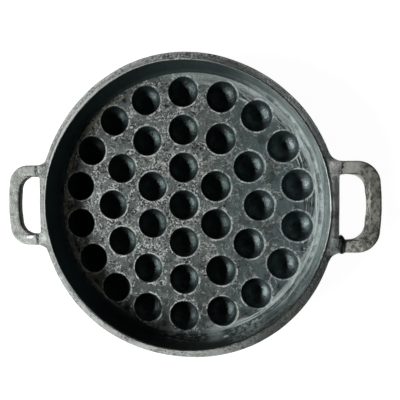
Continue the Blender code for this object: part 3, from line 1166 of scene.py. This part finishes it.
        last = draft.ring([(centre_x, 0.0, self.sizes.floor_top - self.sizes.cup_depth)])
        for radius, z, worn, zone in self.inside():
            beyond = max(0.0, radius - self.sizes.mouth_radius)
            row = circle(radius, z, worn=worn, scuffed=1 - beyond / self.scuff_reach)
            draft.band(last, row, zone)
            last = row
        corners = self.corners(ring)
        above = draft.ring([(x, y, self.sizes.floor_top) for x, y in corners])
        for number, (x, y) in zip(above, corners):
            beyond = math.hypot(x - centre_x, y) - self.sizes.mouth_radius
            draft.marks["scuffed"][number] = max(0.0, 1 - beyond / self.scuff_reach)
        below = draft.ring([(x, y, self.sizes.floor_top - self.sizes.floor_thickness) for x, y in corners])
        draft.web(last, above, (centre_x, 0.0), 0)
        first, *others = self.outside()
        last = circle(*first)
        draft.web(last, below, (centre_x, 0.0), 2)
        for radius, z in others:
            row = circle(radius, z)
            draft.band(last, row, 2)
            last = row
        draft.band(last, draft.ring([(centre_x, 0.0, 0.0)]), 2)
        if ring == len(self.sizes.cups_in_ring):
            edge = self.sizes.floor_radius - self.edge_slack
            for i, (x, y) in enumerate(corners):
                j = (i + 1) % len(corners)
                if math.hypot(x, y) > edge and math.hypot(*corners[j]) > edge:
                    draft.face((above[i], above[j], below[j], below[i]), 2)
        return draft.mesh(f"cell_{ring}")

    def tree(self, materials: list[bpy.types.Material]) -> bpy.types.NodeTree:
        """Build the tree that repeats the cells.

        Args:
            materials: The finishes of the zones, in their order.

        Returns:
            A tree whose inputs are each ring's cell and number of cups, and the reach of the merge.
        """
        tree = bpy.data.node_groups.new("cups_in_rings", "GeometryNodeTree")
        tree.is_modifier = True
        tree.interface.new_socket("Geometry", in_out="OUTPUT", socket_type="NodeSocketGeometry")
        for ring in range(len(self.sizes.cups_in_ring) + 1):
            tree.interface.new_socket(f"Cell {ring}", in_out="INPUT", socket_type="NodeSocketObject")
            tree.interface.new_socket(f"Cups {ring}", in_out="INPUT", socket_type="NodeSocketInt")
        tree.interface.new_socket("Merge reach", in_out="INPUT", socket_type="NodeSocketFloat")
        given = add_node(tree, "NodeGroupInput")
        number = add_node(tree, "GeometryNodeInputIndex").outputs[0]
        every_ring = add_node(tree, "GeometryNodeJoinGeometry")
        for ring in range(len(self.sizes.cups_in_ring) + 1):
            cups = given.outputs[f"Cups {ring}"]
            cell = add_node(tree, "GeometryNodeObjectInfo", {"Object": given.outputs[f"Cell {ring}"]})
            spots = add_node(tree, "GeometryNodePoints", {"Count": cups})
            share = add_node(tree, "ShaderNodeMath", {0: number, 1: cups}, operation="DIVIDE")
            inputs = {0: share.outputs[0], 1: -math.tau, 2: math.pi / 2}
            turn = add_node(tree, "ShaderNodeMath", inputs, operation="MULTIPLY_ADD")
            about_axis = add_node(tree, "ShaderNodeCombineXYZ", {"Z": turn.outputs[0]}).outputs[0]
            shape = cell.outputs["Geometry"]
            inputs = {"Points": spots.outputs[0], "Instance": shape, "Rotation": about_axis}
            copies = add_node(tree, "GeometryNodeInstanceOnPoints", inputs)
            tree.links.new(copies.outputs[0], every_ring.inputs[0])
        real = add_node(tree, "GeometryNodeRealizeInstances", {0: every_ring.outputs[0]})
        inputs = {0: real.outputs[0], "Distance": given.outputs["Merge reach"]}
        merged = add_node(tree, "GeometryNodeMergeByDistance", inputs)
        zone = add_node(tree, "GeometryNodeInputNamedAttribute", {"Name": "zone"}, data_type="INT")
        zone_value = next(socket for socket in zone.outputs if socket.enabled and socket.name == "Attribute")
        skin = merged.outputs[0]
        for index, material in enumerate(materials):
            chosen = add_node(tree, "FunctionNodeCompare", data_type="INT", operation="EQUAL")
            numbers = [socket for socket in chosen.inputs if socket.enabled]
            tree.links.new(zone_value, numbers[0])
            numbers[1].default_value = index
            inputs = {"Geometry": skin, "Selection": chosen.outputs[0], "Material": material}
            skin = add_node(tree, "GeometryNodeSetMaterial", inputs).outputs[0]
        add_node(tree, "NodeGroupOutput", {0: skin})
        return tree

    def build(self) -> bpy.types.Object:
        """Make the floor.

        Returns:
            The piece, closed at its outer edge, where the wall's piece begins.
        """
        materials = [floor_finish().material(), bowl_finish().material(), self.underside]
        tree = self.tree(materials)
        host = place_piece("floor_and_cups", bpy.data.meshes.new("floor_and_cups"), [])
        repeat = host.modifiers.new("cups in rings", "NODES")
        repeat.node_group = tree
        cells = []
        values: dict[str, object] = {"Merge reach": self.merge_reach}
        for ring, cups in enumerate((1, *self.sizes.cups_in_ring)):
            cell = place_piece(f"cell_{ring}", self.cell_mesh(ring), materials)
            cells.append(cell)
            values[f"Cell {ring}"] = cell
            values[f"Cups {ring}"] = cups
        for item in tree.interface.items_tree:
            if item.name in values:
                repeat[item.identifier] = values[item.name]
        graph = bpy.context.evaluated_depsgraph_get()
        mesh = bpy.data.meshes.new_from_object(host.evaluated_get(graph), depsgraph=graph)
        mesh.name = "floor_and_cups"
        host.modifiers.clear()
        host.data = mesh
        for cell in cells:
            bpy.data.objects.remove(cell)
        close_up(mesh)
        self.wear_and_light_lips(mesh)
        self.settle(mesh)
        return host

    def wear_and_light_lips(self, mesh: bpy.types.Mesh) -> None:
        """Wear the lips evenly; as painted light, make them paler on the pan's left, in the wall's shadow,
        and on its right paler on their right sides, which catch the window's light, and duller on their left
        sides.
        """
        centres = [Vector((0.0, 0.0))]
        for ring, cups in enumerate(self.sizes.cups_in_ring, start=1):
            for i in range(cups):
                turn = math.pi / 2 - math.tau * i / cups
                centres.append(Vector((math.cos(turn), math.sin(turn))) * ring * self.sizes.pitch)
        worn = mesh.attributes["worn"].data
        for vertex, mark in zip(mesh.vertices, worn):
            if mark.value > 0:
                spot = vertex.co.xy
                offset = spot - min(centres, key=lambda centre: (spot - centre).length)
                on_right = smooth_step((spot.x - self.lit_side_lips_from) / self.lip_paint_fade)
                on_left = smooth_step((self.worn_left_from - spot.x) / self.lip_paint_fade)
                lopsided = self.lit_side_lip_paint * on_right * offset.x / offset.length
                mark.value *= 1 + lopsided + self.left_wear * on_left

    def settle(self, mesh: bpy.types.Mesh) -> None:
        """Give the floor the slight unevenness of a casting, and leave its outer edge and feet in place."""
        for vertex in mesh.vertices:
            to_edge = self.sizes.floor_radius - math.hypot(vertex.co.x, vertex.co.y)
            hold = smooth_step(to_edge / self.calm_border) * smooth_step(vertex.co.z / self.calm_border)
            vertex.co += noise.noise_vector(vertex.co / self.wave_size) * self.wave_height * hold
        mesh.update()


@dataclass(frozen=True)
class Swell:
    """A stretch of the rim that isn't round: its middle and half span in degrees, its edges' shifts in mm."""

    middle: float
    span: float
    inner: float
    outer: float


@dataclass
class RimWall:
    """The wall with its rim and ears, lofted round the pan."""

    sizes: PanSizes
    outside: bpy.types.Material
    inner_edge: float = 0.0009
    outer_edge: float = 0.0024
    under_edge: float = 0.0012
    under_fillet: float = 0.003
    ear_blend: float = 0.0024
    ridge_step: float = 0.0016
    ridge_share: float = 0.28
    swells: tuple[Swell, ...] = (
        Swell(62, 42, -1.5, -1.8),
        Swell(138, 34, -2.2, -0.9),
        Swell(232, 34, -0.9, 1.3),
        Swell(308, 52, 0.4, 3.3),
        Swell(356, 40, 1.1, 0.0),
    )
    shoulder_turn: float = 72.0
    crown_power: float = 1.7
    neck_gap: float = 0.0004
    calm_foot: float = 0.004
    wave_size: float = 0.030
    wave_depth: float = 0.0004
    grain_size: float = 0.007
    grain_height: float = 0.00010
    fillet_steps: int = 7
    wall_steps: int = 6
    ridge_steps: int = 3
    crown_steps: int = 8
    edge_steps: int = 4
    under_steps: int = 3
    neck_steps: int = 4
    flat_steps: int = 16
    hollow_steps: int = 5
    stub_steps: int = 8
    arc_steps: int = 18
    rim_steps: int = 84

    def outline(self) -> Profile:
        """The rim's outer edge in plan, from the middle of the right ears round to where it started."""
        sizes = self.sizes
        centre_y = sizes.arm_outer_y + sizes.ear_fillet
        centre_x = math.sqrt((sizes.rim_outer + sizes.ear_fillet) ** 2 - centre_y**2)
        root = sizes.arm_inner_y - sizes.ear_stub
        quarter = [(sizes.ear_x, root * i / self.flat_steps) for i in range(self.flat_steps)]
        quarter += arc((sizes.stub_x, root), sizes.ear_stub, math.pi, math.pi / 2, self.hollow_steps)
        stub_end = math.asin(min(1.0, (centre_x - sizes.stub_x) / sizes.ear_fillet))
        span = sizes.arm_outer_y - sizes.arm_inner_y
        for i in range(1, self.stub_steps):
            quarter.append((sizes.stub_x, sizes.arm_inner_y + span * i / self.stub_steps))
        start = -math.pi / 2 - stub_end
        end = math.atan2(centre_y, centre_x) - math.pi
        for x, y in arc((centre_x, centre_y), sizes.ear_fillet, start, end, self.arc_steps):
            quarter.append((min(x, sizes.stub_x), y))
        start = math.atan2(centre_y, centre_x)
        quarter += arc((0.0, 0.0), sizes.rim_outer, start, math.pi / 2, self.rim_steps)[1:]
        half = quarter + [(-x, y) for x, y in reversed(quarter[:-1])]
        return half + [(x, -y) for x, y in reversed(half[1:-1])]

    def section(self, reach: float) -> list[tuple[float, float, int]]:
        """The wall's section where the rim's outer edge is this far out.

        Args:
            reach: Radius of the outer edge.

        Returns:
            Radius, height and zone of each point, from the floor's upper edge up the inside, over and down.
        """
        sizes = self.sizes
        ear = smooth_step((reach - sizes.rim_outer) / self.ear_blend)
        drop = sizes.rim_drop + (sizes.handle_drop - sizes.rim_drop) * ear
        top = sizes.rim_top - drop
        bottom = top - sizes.rim_thickness - (sizes.handle_thickness - sizes.rim_thickness) * ear
        fillet = sizes.root_fillet
        root_z = sizes.floor_top + fillet
        rise = sizes.rim_top - self.inner_edge - root_z
        lean = math.acos(fillet / math.hypot(sizes.wall_flare, rise)) - math.atan2(rise, sizes.wall_flare)

        inside = [(sizes.floor_radius, sizes.floor_top)]
        inside += arc((sizes.wall_root, root_z), fillet, -math.pi / 2, -lean, self.fillet_steps)
        foot_r, foot_z = inside[-1]
        head_r, head_z = sizes.rim_inner, sizes.rim_top - self.inner_edge
        for i in range(1, self.wall_steps + 1):
            share = i / self.wall_steps
            inside.append((foot_r + (head_r - foot_r) * share, foot_z + (head_z - foot_z) * share))

        edge_in, edge_out = self.inner_edge, self.outer_edge
        crest = arc((head_r + edge_in, head_z), edge_in, math.pi, math.pi / 2, self.edge_steps)[1:]
        start_r, start_z = crest[-1]
        shoulder_r = reach - edge_out
        step_r = start_r + self.ridge_step
        step_z = start_z - (start_z - top) * self.ridge_share
        for i in range(1, self.ridge_steps + 1):
            share = i / self.ridge_steps
            fall = (step_z - start_z) * smooth_step(share)
            crest.append((start_r + (step_r - start_r) * share, start_z + fall))
        for i in range(1, self.crown_steps + 1):
            share = i / self.crown_steps
            fall = (step_z - top) * share**self.crown_power
            crest.append((step_r + (shoulder_r - step_r) * share, step_z - fall))
        shoulder_turn = math.radians(self.shoulder_turn)
        crest += arc((shoulder_r, top - edge_out), edge_out, shoulder_turn, 0, self.edge_steps)

        under_centre = (reach - self.under_edge, bottom + self.under_edge)
        outside = arc(under_centre, self.under_edge, 0, -math.pi / 2, self.under_steps)
        hollow = self.under_fillet
        neck = (sizes.rim_inner + sizes.wall_thickness + hollow, bottom - self.neck_gap - hollow)
        outside += arc(neck, hollow, math.pi / 2, math.pi, self.neck_steps)
        bend = fillet + sizes.wall_thickness
        outside += arc((sizes.wall_root, root_z), bend, -lean, -math.pi / 2, self.fillet_steps)
        outside.append((sizes.floor_radius, sizes.floor_top - sizes.floor_thickness))
        zoned = [(r, z, 0) for r, z in inside]
        zoned += [(r, z, 1) for r, z in crest]
        zoned += [(r, z, 2) for r, z in outside]
        return zoned

    def build(self) -> bpy.types.Object:
        """Make the wall.

        Returns:
            The piece, closed where the floor's piece begins.
        """
        draft = Draft()
        columns = []
        for x, y in self.outline():
            reach = math.hypot(x, y)
            section = self.section(reach)
            columns.append(draft.ring([(r * x / reach, r * y / reach, z) for r, z, _ in section]))
        zones = [zone for _, _, zone in section]
        for first, second in zip(columns, columns[1:] + columns[:1]):
            for i, zone in enumerate(zones):
                j = (i + 1) % len(zones)
                draft.face((first[i], first[j], second[j], second[i]), max(zone, zones[j]) if j else 2)
        mesh = draft.mesh("wall_rim_and_ears")
        close_up(mesh)
        self.settle(mesh)
        materials = [wall_finish().material(), rim_finish().material(), self.outside]
        return place_piece("wall_rim_and_ears", mesh, materials)

    def swollen(self, place: Vector) -> float:
        """How far out a place of the wall is moved where the rim isn't round, in metres."""
        radius = math.hypot(place.x, place.y)
        bearing = math.degrees(math.atan2(place.y, place.x))
        over_rim = min(1.0, max(0.0, (radius - self.sizes.rim_inner) / self.sizes.rim_width))
        rise = smooth_step((place.z - self.sizes.floor_top) / self.sizes.wall_height)
        shift = 0.0
        for swell in self.swells:
            near = smooth_step(1 - abs(math.remainder(bearing - swell.middle, 360)) / swell.span)
            shift += near * (swell.inner + (swell.outer - swell.inner) * over_rim)
        return shift * rise * MM

    def settle(self, mesh: bpy.types.Mesh) -> None:
        """Make the wall and rim slightly uneven, keeping them within the pan's overall size."""
        reach = self.sizes.rim_outer
        for vertex in mesh.vertices:
            radius = math.hypot(vertex.co.x, vertex.co.y)
            outwards = Vector((vertex.co.x, vertex.co.y, 0)) / radius
            hold = smooth_step((radius - self.sizes.floor_radius) / self.calm_foot)
            wave = 0.5 + 0.5 * noise.noise(vertex.co / self.wave_size)
            fine = noise.noise_vector(vertex.co / self.grain_size) * self.grain_height
            vertex.co += (outwards * (self.swollen(vertex.co) - self.wave_depth * wave) + fine) * hold
            vertex.co.z = min(vertex.co.z, self.sizes.rim_top)
            vertex.co.y = min(reach, max(-reach, vertex.co.y))
        mesh.update()


def bar_outline(
    half: tuple[float, float], edge: float, steps: tuple[int, int, int], proud: float = 0.0
) -> Profile:
    """Go round a bar's section, with its edges rounded.

    Args:
        half: Half the bar's width and height.
        edge: Radius of its edges.
        steps: How many chords an edge, a broad face and a side have.
        proud: How far a ridge where the mould parted stands out of the inner side.

    Returns:
        Offsets from the bar's middle, from its outer side over the top and round.
    """
    edge_steps, face_steps, side_steps = steps
    outline: Profile = []
    for quarter, (to_right, to_top) in enumerate(((1, 1), (-1, 1), (-1, -1), (1, -1))):
        centre = (to_right * (half[0] - edge), to_top * (half[1] - edge))
        outline += arc(centre, edge, quarter * math.pi / 2, (quarter + 1) * math.pi / 2, edge_steps)
        x, y = outline[-1]
        on_face = quarter % 2 == 0
        goal_x, goal_y = (-x, y) if on_face else (x, -y)
        count = face_steps if on_face else side_steps
        for i in range(1, count):
            share = i / count
            ridge = -proud if x < 0 and not on_face and i == count // 2 else 0.0
            outline.append((x + (goal_x - x) * share + ridge, y + (goal_y - y) * share))
    return outline


class Side(Enum):
    """Which way from the pan's axis a handle lies."""

    LEFT = -1
    RIGHT = 1


@dataclass
class LoopHandle:
    """A cast loop: two arms, two round corners and a bar that bows out a little."""

    sizes: PanSizes
    side: Side
    finish: bpy.types.Material
    edge: float = 0.0028
    parting_proud: float = 0.0002
    wave_size: float = 0.012
    wave_share: float = 0.5
    grain_size: float = 0.004
    grain_share: float = 0.35
    smooth_depth: float = 0.0003
    rough_depth: float = 0.0005
    rough_reach: float = 0.003
    section_steps: tuple[int, int, int] = (5, 7, 4)
    corner_steps: int = 14
    bar_steps: int = 16
    arm_steps: int = 4

    def edge_line(self, corner_y: float, bar_x: float, corner_radius: float) -> Profile:
        """One edge of the loop in plan, from its rear end to the middle of its bar.

        Args:
            corner_y: How far the arm's edge is from the X axis.
            bar_x: How far out the bar's edge is at its middle.
            corner_radius: Radius of the corner between them.

        Returns:
            The edge's points.
        """
        sizes = self.sizes
        side_x = bar_x - sizes.bar_bow
        radius = min(corner_radius, corner_y, side_x - sizes.loop_x)
        centre = (side_x - radius, corner_y - radius)
        points = []
        for i in range(self.arm_steps):
            points.append((sizes.loop_x + (centre[0] - sizes.loop_x) * i / self.arm_steps, corner_y))
        points += arc(centre, radius, math.pi / 2, 0, self.corner_steps)
        for i in range(1, self.bar_steps + 1):
            share = 1 - i / self.bar_steps
            points.append((bar_x - sizes.bar_bow * share**2, centre[1] * share))
        return points

    def bar_section(self, low: Vector, high: Vector) -> list[Point]:
        """The bar's section between two points of the plan.

        Args:
            low: The point on the inner edge.
            high: The point on the outer edge.

        Returns:
            Points round a rounded rectangle with a crowned top and a slight ridge where the mould parted.
        """
        half = ((high - low).length / 2, self.sizes.handle_thickness / 2)
        middle_z = self.sizes.handle_top - half[1]
        along = (high - low).normalized()
        middle = (low + high) / 2
        outline = bar_outline(half, self.edge, self.section_steps, self.parting_proud)
        return [(middle.x + a * along.x, middle.y + a * along.y, middle_z + b) for a, b in outline]

    def build(self) -> bpy.types.Object:
        """Make the handle.

        Returns:
            The piece, closed at its two ends.
        """
        sizes, sign = self.sizes, self.side.value
        outer = self.edge_line(sizes.arm_outer_y, sizes.bar_outer_x, sizes.outer_corner)
        inner = self.edge_line(sizes.arm_inner_y, sizes.bar_inner_x, sizes.inner_corner)
        pairs = list(zip(inner, outer))
        pairs += [((a[0], -a[1]), (b[0], -b[1])) for a, b in reversed(pairs[:-1])]
        draft = Draft()
        rows = []
        for low, high in pairs:
            ends = Vector((sign * low[0], low[1])), Vector((sign * high[0], high[1]))
            rows.append(draft.ring(self.bar_section(*ends)))
        draft.tube(rows)
        name = f"{self.side.name.lower()}_loop"
        mesh = draft.mesh(name)
        close_up(mesh)
        self.settle(mesh)
        return place_piece(name, mesh, [self.finish])

    def settle(self, mesh: bpy.types.Mesh) -> None:
        """Make the loop slightly uneven, rougher on the inner face that no file reached, and never larger."""
        sizes, reach = self.sizes, self.rough_reach
        for vertex in mesh.vertices:
            wave = noise.noise(vertex.co / self.wave_size) * self.wave_share
            wave += noise.noise(vertex.co / self.grain_size) * self.grain_share
            inner = smooth_step((sizes.bar_inner_x + reach - abs(vertex.co.x)) / reach)
            inner *= smooth_step((sizes.arm_inner_y + reach - abs(vertex.co.y)) / reach)
            vertex.co -= vertex.normal * (self.smooth_depth + self.rough_depth * inner) * (wave + 0.5)
        mesh.update()


class Bead(Enum):
    """How far a weld bead stands proud of the bar around it, in millimetres."""

    LEFT_REAR = -0.5
    LEFT_FRONT = -0.3
    RIGHT_REAR = -0.4
    RIGHT_FRONT = 1.5

    @property
    def burnt(self) -> bool:
        """Whether this is the bead that was burnt black, which also spills and bulges more."""
        return self is Bead.RIGHT_FRONT


@dataclass
class WeldBead:
    """The bead between an ear and the end of a loop."""

    sizes: PanSizes
    bead: Bead
    finish: bpy.types.Material
    overlap: float = 0.0009
    edge: float = 0.0028
    burnt_spill: float = 0.0034
    burnt_bulge: float = 3.2
    lump_size: float = 2.4
    lump_height: float = 0.45
    grain_size: float = 1.1
    grain_height: float = 0.2
    lump_gain: float = 1.1
    end_sink: float = 0.35
    middle_rise: float = 0.45
    lump_scale: float = 900
    rings: int = 14
    section_steps: tuple[int, int, int] = (6, 10, 4)

    def build(self) -> bpy.types.Object:
        """Make the bead.

        Returns:
            The piece, a lumpy collar that laps over both bars. The burnt bead also spills over the ear and
            bulges into the loop's opening.
        """
        sizes = self.sizes
        spill, bulge = (self.burnt_spill, self.burnt_bulge) if self.bead.burnt else (0.0, 0.0)
        side_name, end_name = self.bead.name.lower().split("_")
        side = Side[side_name.upper()].value
        end = 1 if end_name == "rear" else -1
        first = sizes.stub_x - self.overlap - spill
        last = sizes.loop_x + self.overlap
        half_width, half_height = half = sizes.arm_width / 2, sizes.handle_thickness / 2
        middle_y = end * (sizes.arm_inner_y + half_width)
        middle_z = sizes.handle_top - half_height
        outline = bar_outline(half, self.edge, self.section_steps)
        draft = Draft()
        rows = []
        for i in range(self.rings + 1):
            share = i / self.rings
            x = first + (last - first) * share
            swell = math.sin(math.pi * share)
            row = []
            for y, z in outline:
                place = Vector((x, y, z)) * self.lump_scale + Vector((0, self.bead.value, 0))
                lump = noise.noise(place / self.lump_size) * self.lump_height
                lump += noise.noise(place / self.grain_size) * self.grain_height
                to_opening = smooth_step(0.5 - 0.5 * end * y / half_width)
                proud = self.bead.value + bulge * to_opening**3
                rise = proud * swell + lump * swell * self.lump_gain
                rise += self.middle_rise * swell - self.end_sink
                scale = 1 + rise * MM / math.hypot(y, z)
                row.append((side * x, middle_y + y * scale, middle_z + z * scale))
            rows.append(draft.ring(row))
        draft.tube(rows)
        name = f"{side_name}_{end_name}_bead"
        mesh = draft.mesh(name)
        close_up(mesh)
        return place_piece(name, mesh, [self.finish])


@dataclass
class Studio:
    """A plain pale floor, one soft light low on the left, and the camera above the pan."""

    camera_place: Point = (0.1184, 0.0293, 0.5413)
    camera_turn: Point = (-2.503, 10.508, -0.308)
    lens: float = 36.0
    sensor: float = 36.0
    window_place: Point = (-1.18, -0.38, 0.79)
    window_size: tuple[float, float] = (1.2, 0.36)
    window_power: float = 34.0
    skylight_place: Point = (-0.48, -0.09, 1.2)
    skylight_size: tuple[float, float] = (0.7, 0.7)
    skylight_power: float = 1.0
    ambient: float = 0.008
    ceiling_from: float = 0.05
    ceiling_to: float = 0.35
    lamps_aim: Point = (0.0, 0.0, 0.03)
    floor_size: float = 8.0
    floor_height: float = -0.0002
    floor_glow: float = 0.97

    def camera(self) -> bpy.types.Object:
        """Place the camera at the photograph's viewpoint."""
        data = bpy.data.cameras.new("camera")
        data.lens = self.lens
        data.sensor_width = self.sensor
        camera = bpy.data.objects.new("camera", data)
        camera.location = self.camera_place
        camera.rotation_euler = [math.radians(a) for a in self.camera_turn]
        bpy.context.scene.collection.objects.link(camera)
        bpy.context.scene.camera = camera
        return camera

    def lamp(self, name: str, place: Point, size: tuple[float, float], power: float) -> bpy.types.Object:
        """Place a soft light, aimed at the pan.

        Args:
            name: Its name.
            place: Its centre.
            size: Its width and height in metres.
            power: Its power in watts.

        Returns:
            The light.
        """
        data = bpy.data.lights.new(name, "AREA")
        data.shape = "RECTANGLE"
        data.size, data.size_y = size
        data.energy = power
        lamp = bpy.data.objects.new(name, data)
        lamp.location = place
        aim = Vector(self.lamps_aim) - Vector(place)
        lamp.rotation_euler = aim.to_track_quat("-Z", "Y").to_euler()
        bpy.context.scene.collection.objects.link(lamp)
        return lamp

    def seen_share(self, tree: bpy.types.NodeTree) -> bpy.types.NodeSocket:
        """A socket that is 1 for camera, glossy and transmission rays, and 0 for those that carry light."""
        path = add_node(tree, "ShaderNodeLightPath")
        total = path.outputs["Is Camera Ray"]
        for name in ("Is Glossy Ray", "Is Transmission Ray"):
            inputs = {0: total, 1: path.outputs[name]}
            total = add_node(tree, "ShaderNodeMath", inputs, operation="MAXIMUM").outputs[0]
        return total

    def world(self) -> None:
        """Make the backdrop white as seen and mirrored, but almost dark as a light and at the ceiling."""
        world = bpy.data.worlds.new("studio")
        bpy.context.scene.world = world
        world.use_nodes = True
        tree = world.node_tree
        tree.nodes.clear()
        bearing = add_node(tree, "ShaderNodeTexCoord").outputs["Generated"]
        height = add_node(tree, "ShaderNodeSeparateXYZ", {0: bearing}).outputs["Z"]
        inputs = {0: height, "From Min": self.ceiling_to, "From Max": self.ceiling_from}
        below_ceiling = add_node(tree, "ShaderNodeMapRange", inputs)
        camera_ray = add_node(tree, "ShaderNodeLightPath").outputs["Is Camera Ray"]
        inputs = {0: below_ceiling.outputs[0], 1: camera_ray}
        open_side = add_node(tree, "ShaderNodeMath", inputs, operation="MAXIMUM")
        inputs = {0: self.seen_share(tree), 1: open_side.outputs[0]}
        seen = add_node(tree, "ShaderNodeMath", inputs, operation="MULTIPLY")
        strength = add_node(tree, "ShaderNodeMapRange", {0: seen.outputs[0], "To Min": self.ambient})
        inputs = {"Color": (1, 1, 1, 1), "Strength": strength.outputs[0]}
        back = add_node(tree, "ShaderNodeBackground", inputs)
        add_node(tree, "ShaderNodeOutputWorld", {"Surface": back.outputs[0]})

    def floor(self) -> bpy.types.Object:
        """Lay the pale floor, which the camera sees as white except in the pan's shadow."""
        half, z = self.floor_size / 2, self.floor_height
        mesh = bpy.data.meshes.new("studio_floor")
        corners = [(-half, -half, z), (half, -half, z), (half, half, z), (-half, half, z)]
        mesh.from_pydata(corners, [], [(0, 1, 2, 3)])
        material = bpy.data.materials.new("pale_floor")
        material.use_nodes = True
        tree = material.node_tree
        tree.nodes.clear()
        matt = add_node(tree, "ShaderNodeBsdfDiffuse", {"Color": linear("#d8d8d6")})
        glow = add_node(tree, "ShaderNodeEmission", {"Color": (1, 1, 1, 1), "Strength": self.floor_glow})
        shade = add_node(tree, "ShaderNodeBsdfDiffuse", {"Color": linear("#808080")})
        seen = add_node(tree, "ShaderNodeAddShader", {0: glow.outputs[0], 1: shade.outputs[0]})
        inputs = {0: self.seen_share(tree), 1: matt.outputs[0], 2: seen.outputs[0]}
        choice = add_node(tree, "ShaderNodeMixShader", inputs)
        add_node(tree, "ShaderNodeOutputMaterial", {"Surface": choice.outputs[0]})
        floor = place_piece("studio_floor", mesh, [material])
        return floor

    def build(self) -> None:
        """Set up everything around the pan."""
        self.world()
        self.floor()
        self.lamp("window", self.window_place, self.window_size, self.window_power)
        skylight = self.lamp("skylight", self.skylight_place, self.skylight_size, self.skylight_power)
        skylight.visible_glossy = False
        self.camera()
        bpy.context.scene.view_settings.view_transform = "Standard"


def main() -> None:
    """Build the pan's pieces in order and report each."""
    logging.basicConfig(level=logging.INFO, format="%(message)s")
    noise.seed_set(UNEVENNESS_SEED)
    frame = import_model()
    sizes = PanSizes()
    cups = sorted(name for name in frame["nodes"] if "_cup" in name)
    sand_cast = sand_cast_finish().material()
    filed = handle_finish().material()
    dressed = bead_finish().material()
    burnt = burnt_bead_finish().material()

    made = [
        (CupFloor(sizes, sand_cast).build(), cups, "floor_iron"),
        (RimWall(sizes, sand_cast).build(), ["rim_wall"], "rim_iron"),
    ]
    for side in Side:
        made.append((LoopHandle(sizes, side, filed).build(), [f"{side.name.lower()}_handle"], "handle_iron"))
    for bead in Bead:
        finish = burnt if bead.burnt else dressed
        made.append((WeldBead(sizes, bead, finish).build(), [f"{bead.name.lower()}_weld"], "weld_iron"))
    for piece, nodes, slot in made:
        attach(piece, "root")
        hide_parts(*nodes)
        triangles = sum(len(face.vertices) - 2 for face in piece.data.polygons)
        LOG.info("%s: %d triangles, stands for %d nodes", piece.name, triangles, len(nodes))

    Studio().build()


if __name__ == "__main__":
    main()
